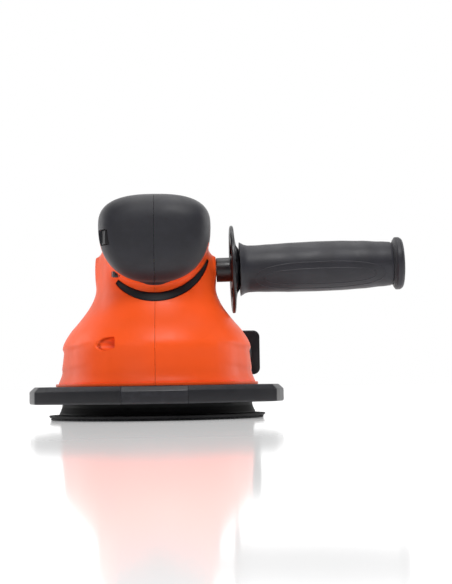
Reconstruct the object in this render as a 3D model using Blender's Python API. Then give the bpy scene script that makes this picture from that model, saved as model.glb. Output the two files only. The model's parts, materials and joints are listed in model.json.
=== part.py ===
"""Orbital sander: a 150 mm pad, a clamshell body with a rear barrel handle and a screw-in side handle.

The origin is on the motor axis, level with the working face of the pad. +Z is up, -Y is the nose and
+X is the side that carries the side handle. Sizes below are in millimetres; MM turns them into metres.
"""

import bmesh
import bpy
from math import cos, pi, radians, sin
from mathutils import Matrix, Vector

MM = 0.001
GAP = 0.3  # clearance between two pieces that touch
FIT = 0.3  # radial clearance of a shaft or screw in its bore
OVERRUN = 2.0  # how far a cutter runs past the wall that it cuts
PAD_ROUND = 40  # sides of the pad and its skirt
ROUND = 32  # sides of the dome and of other large round pieces
SMALL_ROUND = 16  # sides of a bearing, boss or bore
CORE_ROUND = 24  # sides of the side handle's core
POCKET_ROUND = 12  # sides of a screw pocket
SCREW_ROUND = 8  # sides of a screw
WELD = 2e-6  # metres: points nearer than this are one

# Pad, from the floor up
ORBIT = 2.5  # offset of the pad's axis from the motor's
PAD_R = 75.0
FACING_R, FACING_T = 73.8, 1.2
FOAM_CORE_R, FOAM_T, FOAM_SLOPE = 57.0, 4.7, 2.0
LIP_BOTTOM, LIP_T = 0.8, 0.9  # above the foam's underside
PLATE_R, PLATE_T = 56.0, 2.5
FLANGE_R, FLANGE_T = 20.0, 2.7
PAD_SCREW_PCD, PAD_SCREWS = 28.0, 3
PAD_SCREW_TURN, DUST_HOLE_TURN = 45.0, 30.0  # degrees from +X to the first of each ring
DUST_HOLE_PCD, DUST_HOLE_R, DUST_HOLES = 80.0, 5.0, 6
SCREW_R, SCREW_HEAD_R, SCREW_HEAD_T = 1.6, 3.2, 2.3
SCREW_HEAD_CLEAR = 0.6  # round a screw's head where it passes through a soft layer
SCREW_BOSS_WALL = 3.0

# Drive
PAD_BEARING_R, PAD_BEARING_BORE, BEARING_W = 14.0, 6.0, 8.0
RACE_SHARE, SHIELD_DEPTH = 0.24, 0.6  # a bearing race's share of the wall, and the shield's set-back
CUP_WALL, CUP_FLOOR, CUP_ROUND = 4.2, 3.0, 24
HUB_R, HUB_H = 12.0, 12.0
WEIGHT_R, WEIGHT_T, WEIGHT_HALF_ANGLE = 42.0, 9.0, 75
WEIGHT_ROOT = 3.0  # how far inside the shaft's radius the weight starts, before the bore is cut
FAN_R, FAN_H, FAN_BLADES, FAN_BLADE_T, FAN_DISC_T = 50.0, 12.5, 9, 1.6, 2.0
SHAFT_R, SHAFT_TOP_R = 5.0, 4.0
LOWER_BEARING_R, UPPER_BEARING_R, UPPER_BEARING_W = 13.0, 11.0, 7.0
BEARING_LEDGE = 3.0  # the lip that a bearing's outer race stands on
CARRIER_R, CARRIER_T, CARRIER_HUB_R = 58.5, 4.0, 17.0
AIR_HOLES, AIR_HOLE_R, AIR_HOLE_PCD = 6, 9.0, 74.0
STATOR_R, STATOR_WALL, STATOR_H, STATOR_BORE = 36.9, 7.0, 26.0, 21.3
POLE_HALF_ANGLE, COIL_HALF_ANGLE, COIL_WINDOW_HALF_ANGLE = 36, 58, 38
COIL_CLEAR = 1.2  # between a coil and the rotor's side of the stator
ROTOR_R, COMMUTATOR_R, COMMUTATOR_H = 20.6, 10.0, 12.0
WINDING_INSET, WINDING_CLEAR = 3.5, 1.5  # from the rotor's edge, and from the shaft's bore
BRUSH_W, BRUSH_H, BRUSH_L = 5.0, 6.0, 17.0
BRUSH_TUBE_WALL, BRUSH_TUBE_STANDOFF, BRUSH_TUBE_PROUD = 2.0, 2.0, 3.0
BRACKET_R, BRACKET_T, BRACKET_HUB_WALL, BRACKET_ROUND = 27.0, 2.6, 2.5, 24

# Guard
GUARD_BOTTOM, GUARD_H, GUARD_PLATE_T, GUARD_WALL = 11.2, 11.6, 3.3, 3.2
GUARD_HALF_WIDTH, GUARD_SIDE_Y = 87.0, 20.0
GUARD_SHOULDER_X, GUARD_SHOULDER_Y = 80.6, 50.0
GUARD_FRONT_X, GUARD_FRONT_Y = 21.7, 88.0
GUARD_CHAMFER, GUARD_CHAMFER_INSET, GUARD_OPENING_R = 3.2, 3.52, 54.0
GUARD_FOOT_CHAMFER, GUARD_FOOT_INSET = 0.8, 0.6
SEGMENT_DEPTH, SEGMENT_MARGIN = 15.5, 0.1  # front to back, and from each end to the corner of the outline
TONGUE_REACH, TONGUE_HALF, TONGUE_T, TONGUE_OVERLAP, TONGUE_PLACE = 2.8, 3.0, 1.9, 5.0, 0.6
SKIRT_TOP_R, SKIRT_FOOT_R, SKIRT_WALL = 65.9, 68.4, 2.4
SKIRT_FLANGE_R, SKIRT_FLANGE_T, SKIRT_CLEAR = 70.0, 2.7, 0.5
GUARD_SCREW_R, GUARD_SCREW_L, GUARD_SCREWS = 59.8, 12.0, 3

# Heights that follow from the stack
FOAM_Z = FACING_T + GAP
PLATE_Z = FOAM_Z + FOAM_T + GAP
FLANGE_Z = PLATE_Z + PLATE_T + GAP
PAD_BEARING_Z = FLANGE_Z + FLANGE_T + 0.6
CUP_TOP = PAD_BEARING_Z + BEARING_W + GAP + CUP_FLOOR
HUB_TOP = CUP_TOP + HUB_H
FAN_Z = HUB_TOP + GAP
GUARD_TOP = GUARD_BOTTOM + GUARD_H
GUARD_CEILING = GUARD_TOP - GUARD_PLATE_T
BODY_Z = GUARD_TOP + GAP
CARRIER_Z = FAN_Z + FAN_H + 3.5
LOWER_BEARING_Z = CARRIER_Z + 1.2
CARRIER_TOP = LOWER_BEARING_Z + BEARING_W + 0.6
STATOR_Z = CARRIER_TOP + 3.0
STATOR_TOP = STATOR_Z + STATOR_H
COIL_OVERHANG = 3.6
COMMUTATOR_Z = STATOR_TOP + 7.0
BRACKET_Z = COMMUTATOR_Z + COMMUTATOR_H + 1.2
UPPER_BEARING_Z = BRACKET_Z + 1.2
SHAFT_TOP = UPPER_BEARING_Z + UPPER_BEARING_W + 1.0
BRUSH_Z = COMMUTATOR_Z + COMMUTATOR_H / 2

# Body
WALL = 2.6  # of the dome and the neck
HEAD_WALL = 4.8  # of the head and the handle, which carry a soft cover let in
COVER_T = 2.0
BOSS_SINK = 1.0  # how far under the body's surface an inner boss or rib ends
SEAM = 0.3  # between the two halves
BASE_FLANGE_R, BASE_FLANGE_T = 70.4, 1.6
# The dome and neck: height, half width, half depth. The lower heights are above the guard and the upper ones
# above the stator's foot, so that the body grows with the drive that it holds.
DOME_FOOT = ((1.9, 68.6, 68.6), (7.0, 66.5, 66.5), (16.0, 65.0, 65.0), (25.0, 64.9, 64.9))
DOME_TOP = (
    (-11.4, 63.5, 63.5), (-7.1, 61.4, 61.2), (-3.2, 58.7, 58.4), (5.7, 51.1, 50.8), (11.1, 47.1, 47.2),
    (16.6, 44.0, 44.3), (23.1, 41.8, 41.8), (39.1, 41.3, 41.0), (48.1, 39.2, 38.8), (57.1, 33.0, 32.5),
)
DOME = tuple((BODY_Z + up, x, y) for up, x, y in DOME_FOOT)
DOME += tuple((STATOR_Z + up, x, y) for up, x, y in DOME_TOP)
DOME_R = DOME_FOOT[0][1]
NECK_LEVEL = 7  # the level in DOME_TOP that the dial is set in
NECK_HALF = DOME_TOP[NECK_LEVEL][1:]
# Place along Y, half width, height of the widest line above the stator's foot, rise above it, drop below it
HEAD_STATIONS = (
    (-60.0, 13.0, 63.0, 7.5, 13.0), (-58.6, 22.5, 63.3, 12.0, 22.0), (-55.5, 30.5, 64.3, 16.0, 30.5),
    (-51.0, 35.2, 65.3, 18.6, 36.0), (-45.0, 37.4, 66.0, 20.2, 38.6), (-32.0, 38.3, 66.7, 21.8, 39.6),
    (0.0, 38.0, 67.0, 23.0, 38.6), (22.0, 35.6, 66.5, 22.3, 34.5), (36.0, 31.0, 65.0, 21.0, 29.5),
    (52.0, 25.5, 62.2, 19.4, 25.0), (70.0, 22.0, 58.3, 18.4, 21.4), (102.0, 22.0, 51.5, 18.5, 20.0),
    (130.0, 22.5, 46.5, 18.5, 19.5), (144.0, 21.0, 44.5, 17.0, 18.0), (150.0, 16.5, 44.0, 13.0, 14.0),
)
HEAD = tuple((y, wide, STATOR_Z + up, rise, drop) for y, wide, up, rise, drop in HEAD_STATIONS)
NOSE_Y, TAIL_Y, TAIL_Z = HEAD[0][0], HEAD[-1][0], HEAD[-1][2]
NOSE_ROUNDING, TAIL_ROUNDING = 8, 12  # one over the share of the length in which each end closes
HEAD_POINTS = 20
UPPER_POWER, LOWER_POWER = 2.6, 2.35  # how square the section is above and below its widest line
NOSE_BACK_Y = -42.0
NOSE_FLOOR = STATOR_Z + 23.0
GRIP_END_Y = 136.0
SKY, ASIDE = STATOR_Z + 105.0, 120.0  # above everything, and outside everything to each side
# Lower edge of the handle's soft cover: place along Y, height above the stator's foot
GRIP_EDGE = ((NOSE_BACK_Y, 54.0), (36.0, 54.0), (58.0, 41.0), (GRIP_END_Y, 35.0))
STRIP_CENTRE_Z = STATOR_Z + 66.0
STRIP_INNER_X, STRIP_INNER_DROP, STRIP_T, STRIP_END_T, STRIP_DEPTH = 40.5, 45.5, 6.2, 1.0, 2.0
STRIP_FROM, STRIP_TO, STRIP_STEPS = -38.0, 62.0, 14  # degrees from straight down, towards +X
VENTS, VENT_Z, VENT_PITCH, VENT_W, VENT_H, VENT_FROM_Y = 5, STATOR_Z + 13.0, 5.5, 30.0, 2.4, 30.0

# Side handle and its bosses
HANDLE_Z, HANDLE_TILT = STATOR_Z + 38.2, 1.4  # height, and rise outwards in degrees
BOSS_R, BOSS_FACE_X, BOSS_DEPTH = 10.0, 42.2, 12.5
INSERT_R, STUD_R, STUD_L, STUD_REACH = 6.2, 4.0, 112.0, 11.0
COLLAR_R, COLLAR_L = 8.5, 10.0
DISC_R, DISC_T, DISC_DISH, DISC_RIM = 30.8, 2.6, 1.6, 2.0
WINDOWS, WINDOW_INNER_R, WINDOW_OUTER_R, WINDOW_SHARE = 8, 16.5, 25.5, 0.62
CORE_R, CORE_FILLET, SLEEVE_START, SLEEVE_L = 12.0, 1.5, 16.5, 107.5
END_CAP_R, END_CAP_L, END_CAP_NEAR_EDGE, END_CAP_FAR_EDGE = 18.5, 7.5, 1.5, 2.5
# Share of the sleeve's length, radius
SLEEVE = (
    (0.0, 19.4), (0.02, 17.6), (0.05, 16.4), (0.1, 16.4), (0.3, 17.2), (0.5, 17.6), (0.75, 17.2),
    (0.93, 15.9), (1.0, 15.4),
)

# Dust unit
DUCT_X, DUCT_Z, DUCT_R, DUCT_WALL = 49.5, CARRIER_Z - 5.7, 14.0, 2.0
FAIRING_WALL, FAIRING_START_Y, FAIRING_END_Y = 2.5, 10.0, 52.0
SPIGOT_COLLAR_R, SPIGOT_COLLAR_W, SPIGOT_INSERT = 19.5, 4.0, 5.0
BOX_X, BOX_Y, BOX_Z = (6.0, 75.6), (DOME_R + 0.4, 130.0), (DUCT_Z - 16.5, DUCT_Z + 16.5)
BOX_WALL, BOX_ROUND = 2.0, 5.0
DUCT_INNER_END_Y, SPIGOT_IN_BOX = 18.0, 6.0
DOOR_T, DOOR_PIN_R, DOOR_PIN_DROP, DOOR_PIN_HALF = 2.6, 1.1, 3.1, 22.0
KNUCKLE_WALL, KNUCKLE_HALF, EAR_PLACE, EAR_HALF = 1.2, 10.0, 17.0, 5.0
TAB_HALF, TAB_T, TAB_PROUD, TAB_DROP = 9.0, 4.0, 3.0, 2.0
FILTER_T, FILTER_PLACE = 5.0, 28.0

# Controls
DIAL_R, DIAL_T, DIAL_PROUD, DIAL_AZ, DIAL_Z = 10.0, 5.0, 1.4, 231.0, STATOR_Z + 34.0
DIAL_RIBS, DIAL_RIB_DEPTH, DIAL_CLEAR, DIAL_PIN_R, DIAL_PIN_L = 20, 0.6, 0.7, 2.0, 5.0
ROCKER_Y, ROCKER_Z, ROCKER_LONG, ROCKER_HIGH, ROCKER_DEEP = -49.3, STATOR_Z + 57.0, 9.4, 9.6, 8.0
ROCKER_PROUD_X, ROCKER_SIDE_GAP, ROCKER_END_GAP = 34.3, 0.5, 1.1
SWITCH_SIZE, SWITCH_SETBACK = (15.0, 12.0, 15.0), 9.0
GLAND_R, GLAND_BORE, GLAND_L, GLAND_INSERT = 6.5, 3.6, 14.0, 7.0
GLAND_FLANGE_R, GLAND_FLANGE_T = 9.0, 2.0
BOARD_HALF_X, BOARD_Y, BOARD_T, BOARD_CLEAR = 18.0, (-30.0, 26.0), 1.6, 4.0
CHOKE_HALF_X, CHOKE_Y, CHOKE_H = 8.0, (-22.0, -6.0), 10.0

# Screws that close the two halves: place along Y, height, X of the head's seat, reach past the seam, and the
# way along Y and Z that the rib of the boss runs to the wall
CASE_SCREWS = (
    (-55.8, DUCT_Z + 4.5, -24.0, 14.0, (-1, 0)), (55.8, DUCT_Z + 4.5, -24.0, 10.0, (1, 0)),
    (-36.5, STATOR_Z + 75.5, -19.0, 12.0, (0, 1)), (138.0, STATOR_Z + 39.0, -11.0, 9.0, (0, -1)),
)
RIB_T, RIB_L, BOSS_END_WALL, POCKET_FLOOR = 3.0, 13.0, 2.0, 2.5
POCKET_R, POCKET_WALL, CASE_BOSS_R = 4.6, 1.6, 4.6

COLOURS = {
    "orange": ((0.85, 0.14, 0.03, 1), 0.4, 0.0),
    "soft black": ((0.045, 0.045, 0.052, 1), 0.7, 0.0),
    "hard black": ((0.03, 0.03, 0.035, 1), 0.5, 0.0),
    "guard grey": ((0.035, 0.034, 0.042, 1), 0.55, 0.0),
    "rubber": ((0.015, 0.015, 0.018, 1), 0.8, 0.0),
    "steel": ((0.6, 0.6, 0.62, 1), 0.3, 1.0),
    "copper": ((0.72, 0.34, 0.16, 1), 0.35, 1.0),
    "brass": ((0.78, 0.6, 0.25, 1), 0.35, 1.0),
    "aluminium": ((0.7, 0.7, 0.72, 1), 0.4, 1.0),
    "carbon": ((0.04, 0.04, 0.04, 1), 0.6, 0.0),
    "board green": ((0.03, 0.2, 0.08, 1), 0.5, 0.0),
    "filter": ((0.75, 0.72, 0.62, 1), 0.9, 0.0),
    "foam": ((0.05, 0.05, 0.055, 1), 0.9, 0.0),
}


# --- mesh tools ---------------------------------------------------------------------------------


def clear_scene():
    for obj in list(bpy.data.objects):
        bpy.data.objects.remove(obj, do_unlink=True)


def new_object(name, mesh_builder):
    """An object from a bmesh in metres, its faces turned to point outwards."""
    bmesh.ops.remove_doubles(mesh_builder, verts=mesh_builder.verts, dist=1e-7)
    bmesh.ops.recalc_face_normals(mesh_builder, faces=mesh_builder.faces)
    mesh = bpy.data.meshes.new(name)
    mesh_builder.to_mesh(mesh)
    mesh_builder.free()
    obj = bpy.data.objects.new(name, mesh)
    bpy.context.scene.collection.objects.link(obj)
    return obj


def loft(name, rings):
    """A closed solid through rings of equally many points, flat at both ends. Points are in mm."""
    builder = bmesh.new()
    loops = [[builder.verts.new(Vector(point) * MM) for point in ring] for ring in rings]
    count = len(loops[0])
    for lower, upper in zip(loops, loops[1:]):
        for i in range(count):
            j = (i + 1) % count
            builder.faces.new((lower[i], lower[j], upper[j], upper[i]))
    builder.faces.new(loops[0])
    builder.faces.new(loops[-1])
    return new_object(name, builder)


def turned(name, profile, sides=ROUND, centre=(0.0, 0.0)):
    """A solid turned about a line along Z. The profile is (radius, z) and closes on itself."""
    builder = bmesh.new()
    columns = []
    for i in range(sides):
        angle = 2 * pi * i / sides
        column = [(centre[0] + r * cos(angle), centre[1] + r * sin(angle), z) for r, z in profile]
        columns.append([builder.verts.new(Vector(point) * MM) for point in column])
    for i in range(sides):
        here, there = columns[i], columns[(i + 1) % sides]
        for k in range(len(profile)):
            m = (k + 1) % len(profile)
            if profile[k][0] == 0 and profile[m][0] == 0:
                continue
            corners = [here[k], there[k], there[m], here[m]]
            if profile[k][0] == 0:
                corners.remove(there[k])
            if profile[m][0] == 0:
                corners.remove(there[m])
            builder.faces.new(corners)
    return new_object(name, builder)


def prism(name, outline, bottom, top):
    """An outline in X and Y, pulled up from bottom to top."""
    return loft(name, [[(x, y, z) for x, y in outline] for z in (bottom, top)])


def prism_along_x(name, outline, start, end):
    """An outline in Y and Z, pulled along X."""
    return loft(name, [[(x, y, z) for y, z in outline] for x in (start, end)])


def prism_along_y(name, outline, start, end):
    """An outline in X and Z, pulled along Y."""
    return loft(name, [[(x, y, z) for x, z in outline] for y in (start, end)])


def block(name, low, high):
    corners = ((low[0], low[1]), (high[0], low[1]), (high[0], high[1]), (low[0], high[1]))
    return prism(name, corners, low[2], high[2])


def circle(radius, sides, centre=(0.0, 0.0)):
    steps = (2 * pi * i / sides for i in range(sides))
    return [(centre[0] + radius * cos(a), centre[1] + radius * sin(a)) for a in steps]


def rounded_rectangle(low, high, radius, steps=4):
    """Corner points of a rectangle whose corners are arcs."""
    points = []
    corners = ((high[0] - radius, high[1] - radius, 0), (low[0] + radius, high[1] - radius, 1),
               (low[0] + radius, low[1] + radius, 2), (high[0] - radius, low[1] + radius, 3))
    for x, y, quarter in corners:
        for i in range(steps + 1):
            angle = (quarter + i / steps) * pi / 2
            points.append((x + radius * cos(angle), y + radius * sin(angle)))
    return points


def sector(inner, outer, middle, half_angle, steps=8):
    """A piece of a flat ring, its angles in degrees."""
    angles = [radians(middle - half_angle + 2 * half_angle * i / steps) for i in range(steps + 1)]
    far = [(outer * cos(a), outer * sin(a)) for a in angles]
    return far + [(inner * cos(a), inner * sin(a)) for a in reversed(angles)]


def rod(name, radius, bottom, top, centre=(0.0, 0.0), sides=SMALL_ROUND):
    return prism(name, circle(radius, sides, centre), bottom, top)


def rod_along_x(name, radius, start, end, y, z, sides=SMALL_ROUND):
    return prism_along_x(name, circle(radius, sides, (y, z)), start, end)


def rod_along_y(name, radius, start, end, x, z, sides=SMALL_ROUND):
    return prism_along_y(name, circle(radius, sides, (x, z)), start, end)


def mend(mesh):
    """Welds the slivers that a Boolean leaves, and splits its many-sided faces into triangles."""
    builder = bmesh.new()
    builder.from_mesh(mesh)
    bmesh.ops.remove_doubles(builder, verts=builder.verts, dist=WELD)
    bmesh.ops.dissolve_degenerate(builder, dist=WELD, edges=builder.edges)
    bmesh.ops.triangulate(builder, faces=[face for face in builder.faces if len(face.verts) > 4])
    builder.to_mesh(mesh)
    builder.free()


def combine(target, operation, *tools, keep=False):
    """Applies one exact Boolean for each tool in turn, then removes the tools unless they are kept."""
    for tool in tools:
        modifier = target.modifiers.new(operation.lower(), "BOOLEAN")
        modifier.operation = operation
        modifier.solver = "EXACT"
        modifier.object = tool
        tool.hide_render = True
        tool.display_type = "WIRE"
        bpy.context.view_layer.update()
        evaluated = target.evaluated_get(bpy.context.evaluated_depsgraph_get())
        shape = bpy.data.meshes.new_from_object(evaluated)
        target.modifiers.clear()
        target.data = shape
        mend(shape)
        if not keep:
            bpy.data.objects.remove(tool, do_unlink=True)
    return target


def join(target, *tools):
    return combine(target, "UNION", *tools)


def cut(target, *tools, keep=False):
    return combine(target, "DIFFERENCE", *tools, keep=keep)


def keep_inside(target, *tools, keep=False):
    return combine(target, "INTERSECT", *tools, keep=keep)


def copy_of(obj, name):
    twin = bpy.data.objects.new(name, obj.data.copy())
    bpy.context.scene.collection.objects.link(twin)
    return twin


def discard(*objects):
    for obj in objects:
        bpy.data.objects.remove(obj, do_unlink=True)


def material(name):
    """The named finish, made once."""
    found = bpy.data.materials.get(name)
    if found:
        return found
    colour, roughness, metallic = COLOURS[name]
    made = bpy.data.materials.new(name)
    made.use_nodes = True
    shader = made.node_tree.nodes["Principled BSDF"]
    shader.inputs["Base Color"].default_value = colour
    shader.inputs["Roughness"].default_value = roughness
    shader.inputs["Metallic"].default_value = metallic
    made.diffuse_color = colour
    return made


def finish(obj, name, finish_name, pivot=None):
    """Names a finished piece, gives it its material and smooth shading, and puts its origin on its pivot."""
    obj.name = name
    obj.data.name = name
    obj.hide_render = False
    obj.display_type = "TEXTURED"
    obj.data.materials.clear()
    obj.data.materials.append(material(finish_name))
    obj.data.shade_smooth()
    obj.data.set_sharp_from_angle(angle=radians(35))
    if pivot is not None:
        point = Vector(pivot) * MM
        obj.data.transform(Matrix.Translation(-point))
        obj.location = point
    return obj


# --- pad ----------------------------------------------------------------------------------------

PAD_CENTRE = (0.0, -ORBIT)


def around_pad(pcd, count, turn=0.0):
    """Points on a pitch circle about the pad's axis."""
    angles = (2 * pi * i / count + radians(turn) for i in range(count))
    return [(PAD_CENTRE[0] + pcd / 2 * cos(a), PAD_CENTRE[1] + pcd / 2 * sin(a)) for a in angles]


def pad_screw_places():
    return around_pad(PAD_SCREW_PCD, PAD_SCREWS, PAD_SCREW_TURN)


def pad_holes(bottom, top, screw_hole_r):
    """Cutters for the dust holes and the screw holes, through one layer of the pad."""
    low, high = bottom - OVERRUN, top + OVERRUN
    dust = [rod("dust hole", DUST_HOLE_R, low, high, at, SCREW_ROUND)
            for at in around_pad(DUST_HOLE_PCD, DUST_HOLES, DUST_HOLE_TURN)]
    screws = [rod("screw hole", screw_hole_r, low, high, at, SCREW_ROUND) for at in pad_screw_places()]
    return dust + screws


def build_pad():
    pivot = (*PAD_CENTRE, FOAM_Z)
    head_hole = SCREW_HEAD_R + SCREW_HEAD_CLEAR
    profile = [(0, 0), (FACING_R, 0), (FACING_R, FACING_T), (0, FACING_T)]
    facing = turned("facing", profile, PAD_ROUND, PAD_CENTRE)
    cut(facing, *pad_holes(0, FACING_T, head_hole))
    finish(facing, "hook_facing", "foam", pivot)

    lip_z = FOAM_Z + LIP_BOTTOM
    foam_top = FOAM_Z + FOAM_T
    slope = [(0, FOAM_Z), (PAD_R - LIP_BOTTOM, FOAM_Z), (PAD_R, lip_z), (PAD_R, lip_z + LIP_T),
             (FOAM_CORE_R + FOAM_SLOPE, lip_z + LIP_T), (FOAM_CORE_R, foam_top), (0, foam_top)]
    foam = turned("foam", slope, PAD_ROUND, PAD_CENTRE)
    cut(foam, *pad_holes(FOAM_Z, foam_top, head_hole))
    finish(foam, "pad_foam", "foam", pivot)

    plate = rod("plate", PLATE_R, PLATE_Z, PLATE_Z + PLATE_T, PAD_CENTRE, ROUND)
    cut(plate, *pad_holes(PLATE_Z, PLATE_Z + PLATE_T, SCREW_R + FIT))
    finish(plate, "pad_backing_plate", "hard black", pivot)

    flange_top = FLANGE_Z + FLANGE_T
    spindle_top = PAD_BEARING_Z + BEARING_W
    profile = [(0, FLANGE_Z), (FLANGE_R, FLANGE_Z), (FLANGE_R, flange_top),
               (PAD_BEARING_BORE - FIT, flange_top), (PAD_BEARING_BORE - FIT, spindle_top), (0, spindle_top)]
    spindle = turned("spindle", profile, SMALL_ROUND, PAD_CENTRE)
    for at in pad_screw_places():
        cut(spindle, rod("hole", SCREW_R + FIT, FLANGE_Z - OVERRUN, flange_top + OVERRUN, at, SCREW_ROUND))
    finish(spindle, "pad_spindle", "steel", pivot)

    seat = PLATE_Z - GAP
    for number, at in enumerate(pad_screw_places(), 1):
        profile = [(0, seat - SCREW_HEAD_T), (SCREW_HEAD_R, seat - SCREW_HEAD_T), (SCREW_HEAD_R, seat),
                   (SCREW_R, seat), (SCREW_R, flange_top), (0, flange_top)]
        finish(turned("screw", profile, SCREW_ROUND, at), f"pad_screw_{number}", "steel", pivot)


# --- drive --------------------------------------------------------------------------------------


def ring(name, outer, inner, bottom, top, centre=(0.0, 0.0), sides=SMALL_ROUND):
    return turned(name, [(inner, bottom), (outer, bottom), (outer, top), (inner, top)], sides, centre)


def bearing(name, outer, bore, bottom, width, centre=(0.0, 0.0)):
    """A deep-groove bearing: its rings and shield in one turned solid, the shield set back."""
    top = bottom + width
    race = (outer - bore) * RACE_SHARE
    low_shield, high_shield = bottom + SHIELD_DEPTH, top - SHIELD_DEPTH
    profile = [(bore, bottom), (bore + race, bottom), (bore + race, low_shield), (outer - race, low_shield),
               (outer - race, bottom), (outer, bottom), (outer, top), (outer - race, top),
               (outer - race, high_shield), (bore + race, high_shield), (bore + race, top), (bore, top)]
    return finish(turned(name, profile, SMALL_ROUND, centre), name, "steel")


def build_rotor():
    axis = (0.0, 0.0, FAN_Z)
    bearing("pad_bearing", PAD_BEARING_R, PAD_BEARING_BORE, PAD_BEARING_Z, BEARING_W, PAD_CENTRE)
    bpy.data.objects["pad_bearing"].data.transform(Matrix.Translation(-Vector(axis) * MM))
    bpy.data.objects["pad_bearing"].location = Vector(axis) * MM

    cup_r = PAD_BEARING_R + FIT + CUP_WALL
    cup_floor = CUP_TOP - CUP_FLOOR
    hub = rod("hub", HUB_R, cup_floor, HUB_TOP)
    outline = sector(SHAFT_R - WEIGHT_ROOT, WEIGHT_R, 90, WEIGHT_HALF_ANGLE, 12)
    weight = prism("weight", outline, cup_floor, cup_floor + WEIGHT_T)
    join(hub, rod("cup", cup_r, PAD_BEARING_Z, CUP_TOP, PAD_CENTRE, CUP_ROUND), weight)
    seat = rod("seat", PAD_BEARING_R + FIT, PAD_BEARING_Z - OVERRUN, cup_floor, PAD_CENTRE, CUP_ROUND)
    cut(hub, seat, rod("bore", SHAFT_R + FIT, cup_floor - OVERRUN, HUB_TOP + OVERRUN))
    finish(hub, "eccentric_counterweight", "steel", axis)

    fan_top = FAN_Z + FAN_H
    in_disc = FAN_Z + FAN_DISC_T / 2
    fan = ring("fan", FAN_R, SHAFT_R + FIT, FAN_Z, FAN_Z + FAN_DISC_T, sides=ROUND)
    join(fan, ring("fan hub", HUB_R, SHAFT_R + FIT, in_disc, fan_top))
    for i in range(FAN_BLADES):
        blade = block("blade", (HUB_R - 2.0, -FAN_BLADE_T / 2, in_disc),
                      (FAN_R - 0.5, FAN_BLADE_T / 2, fan_top))
        turn = 2 * pi * (i + 0.3) / FAN_BLADES  # 0.3 keeps the blades off the hub's own edges
        blade.data.transform(Matrix.Rotation(turn, 4, "Z"))
        join(fan, blade)
    finish(fan, "cooling_fan", "hard black", axis)

    foot, shoulder = cup_floor + 0.5, BRACKET_Z - 1.0
    profile = [(0, foot), (SHAFT_R, foot), (SHAFT_R, shoulder), (SHAFT_TOP_R, shoulder),
               (SHAFT_TOP_R, SHAFT_TOP), (0, SHAFT_TOP)]
    finish(turned("shaft", profile, SMALL_ROUND), "motor_shaft", "steel", axis)

    bore = SHAFT_R + FIT
    core = ring("core", ROTOR_R, bore, STATOR_Z, STATOR_TOP, sides=ROUND)
    finish(core, "rotor_core", "steel", axis)
    winding_r, winding_bore = ROTOR_R - WINDING_INSET, bore + WINDING_CLEAR
    lower = ring("lower", winding_r, winding_bore, CARRIER_TOP + 2 * GAP, STATOR_Z - GAP)
    finish(lower, "rotor_winding_lower", "copper", axis)
    profile = [(winding_bore, STATOR_TOP + GAP), (winding_r, STATOR_TOP + GAP),
               (winding_r - 1.5, COMMUTATOR_Z - 1.5), (COMMUTATOR_R, COMMUTATOR_Z - GAP),
               (winding_bore, COMMUTATOR_Z - GAP)]
    upper = turned("upper", profile, SMALL_ROUND)
    finish(upper, "rotor_winding_upper", "copper", axis)
    bars = ring("bars", COMMUTATOR_R, bore, COMMUTATOR_Z, COMMUTATOR_Z + COMMUTATOR_H)
    finish(bars, "commutator", "copper", axis)


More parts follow.
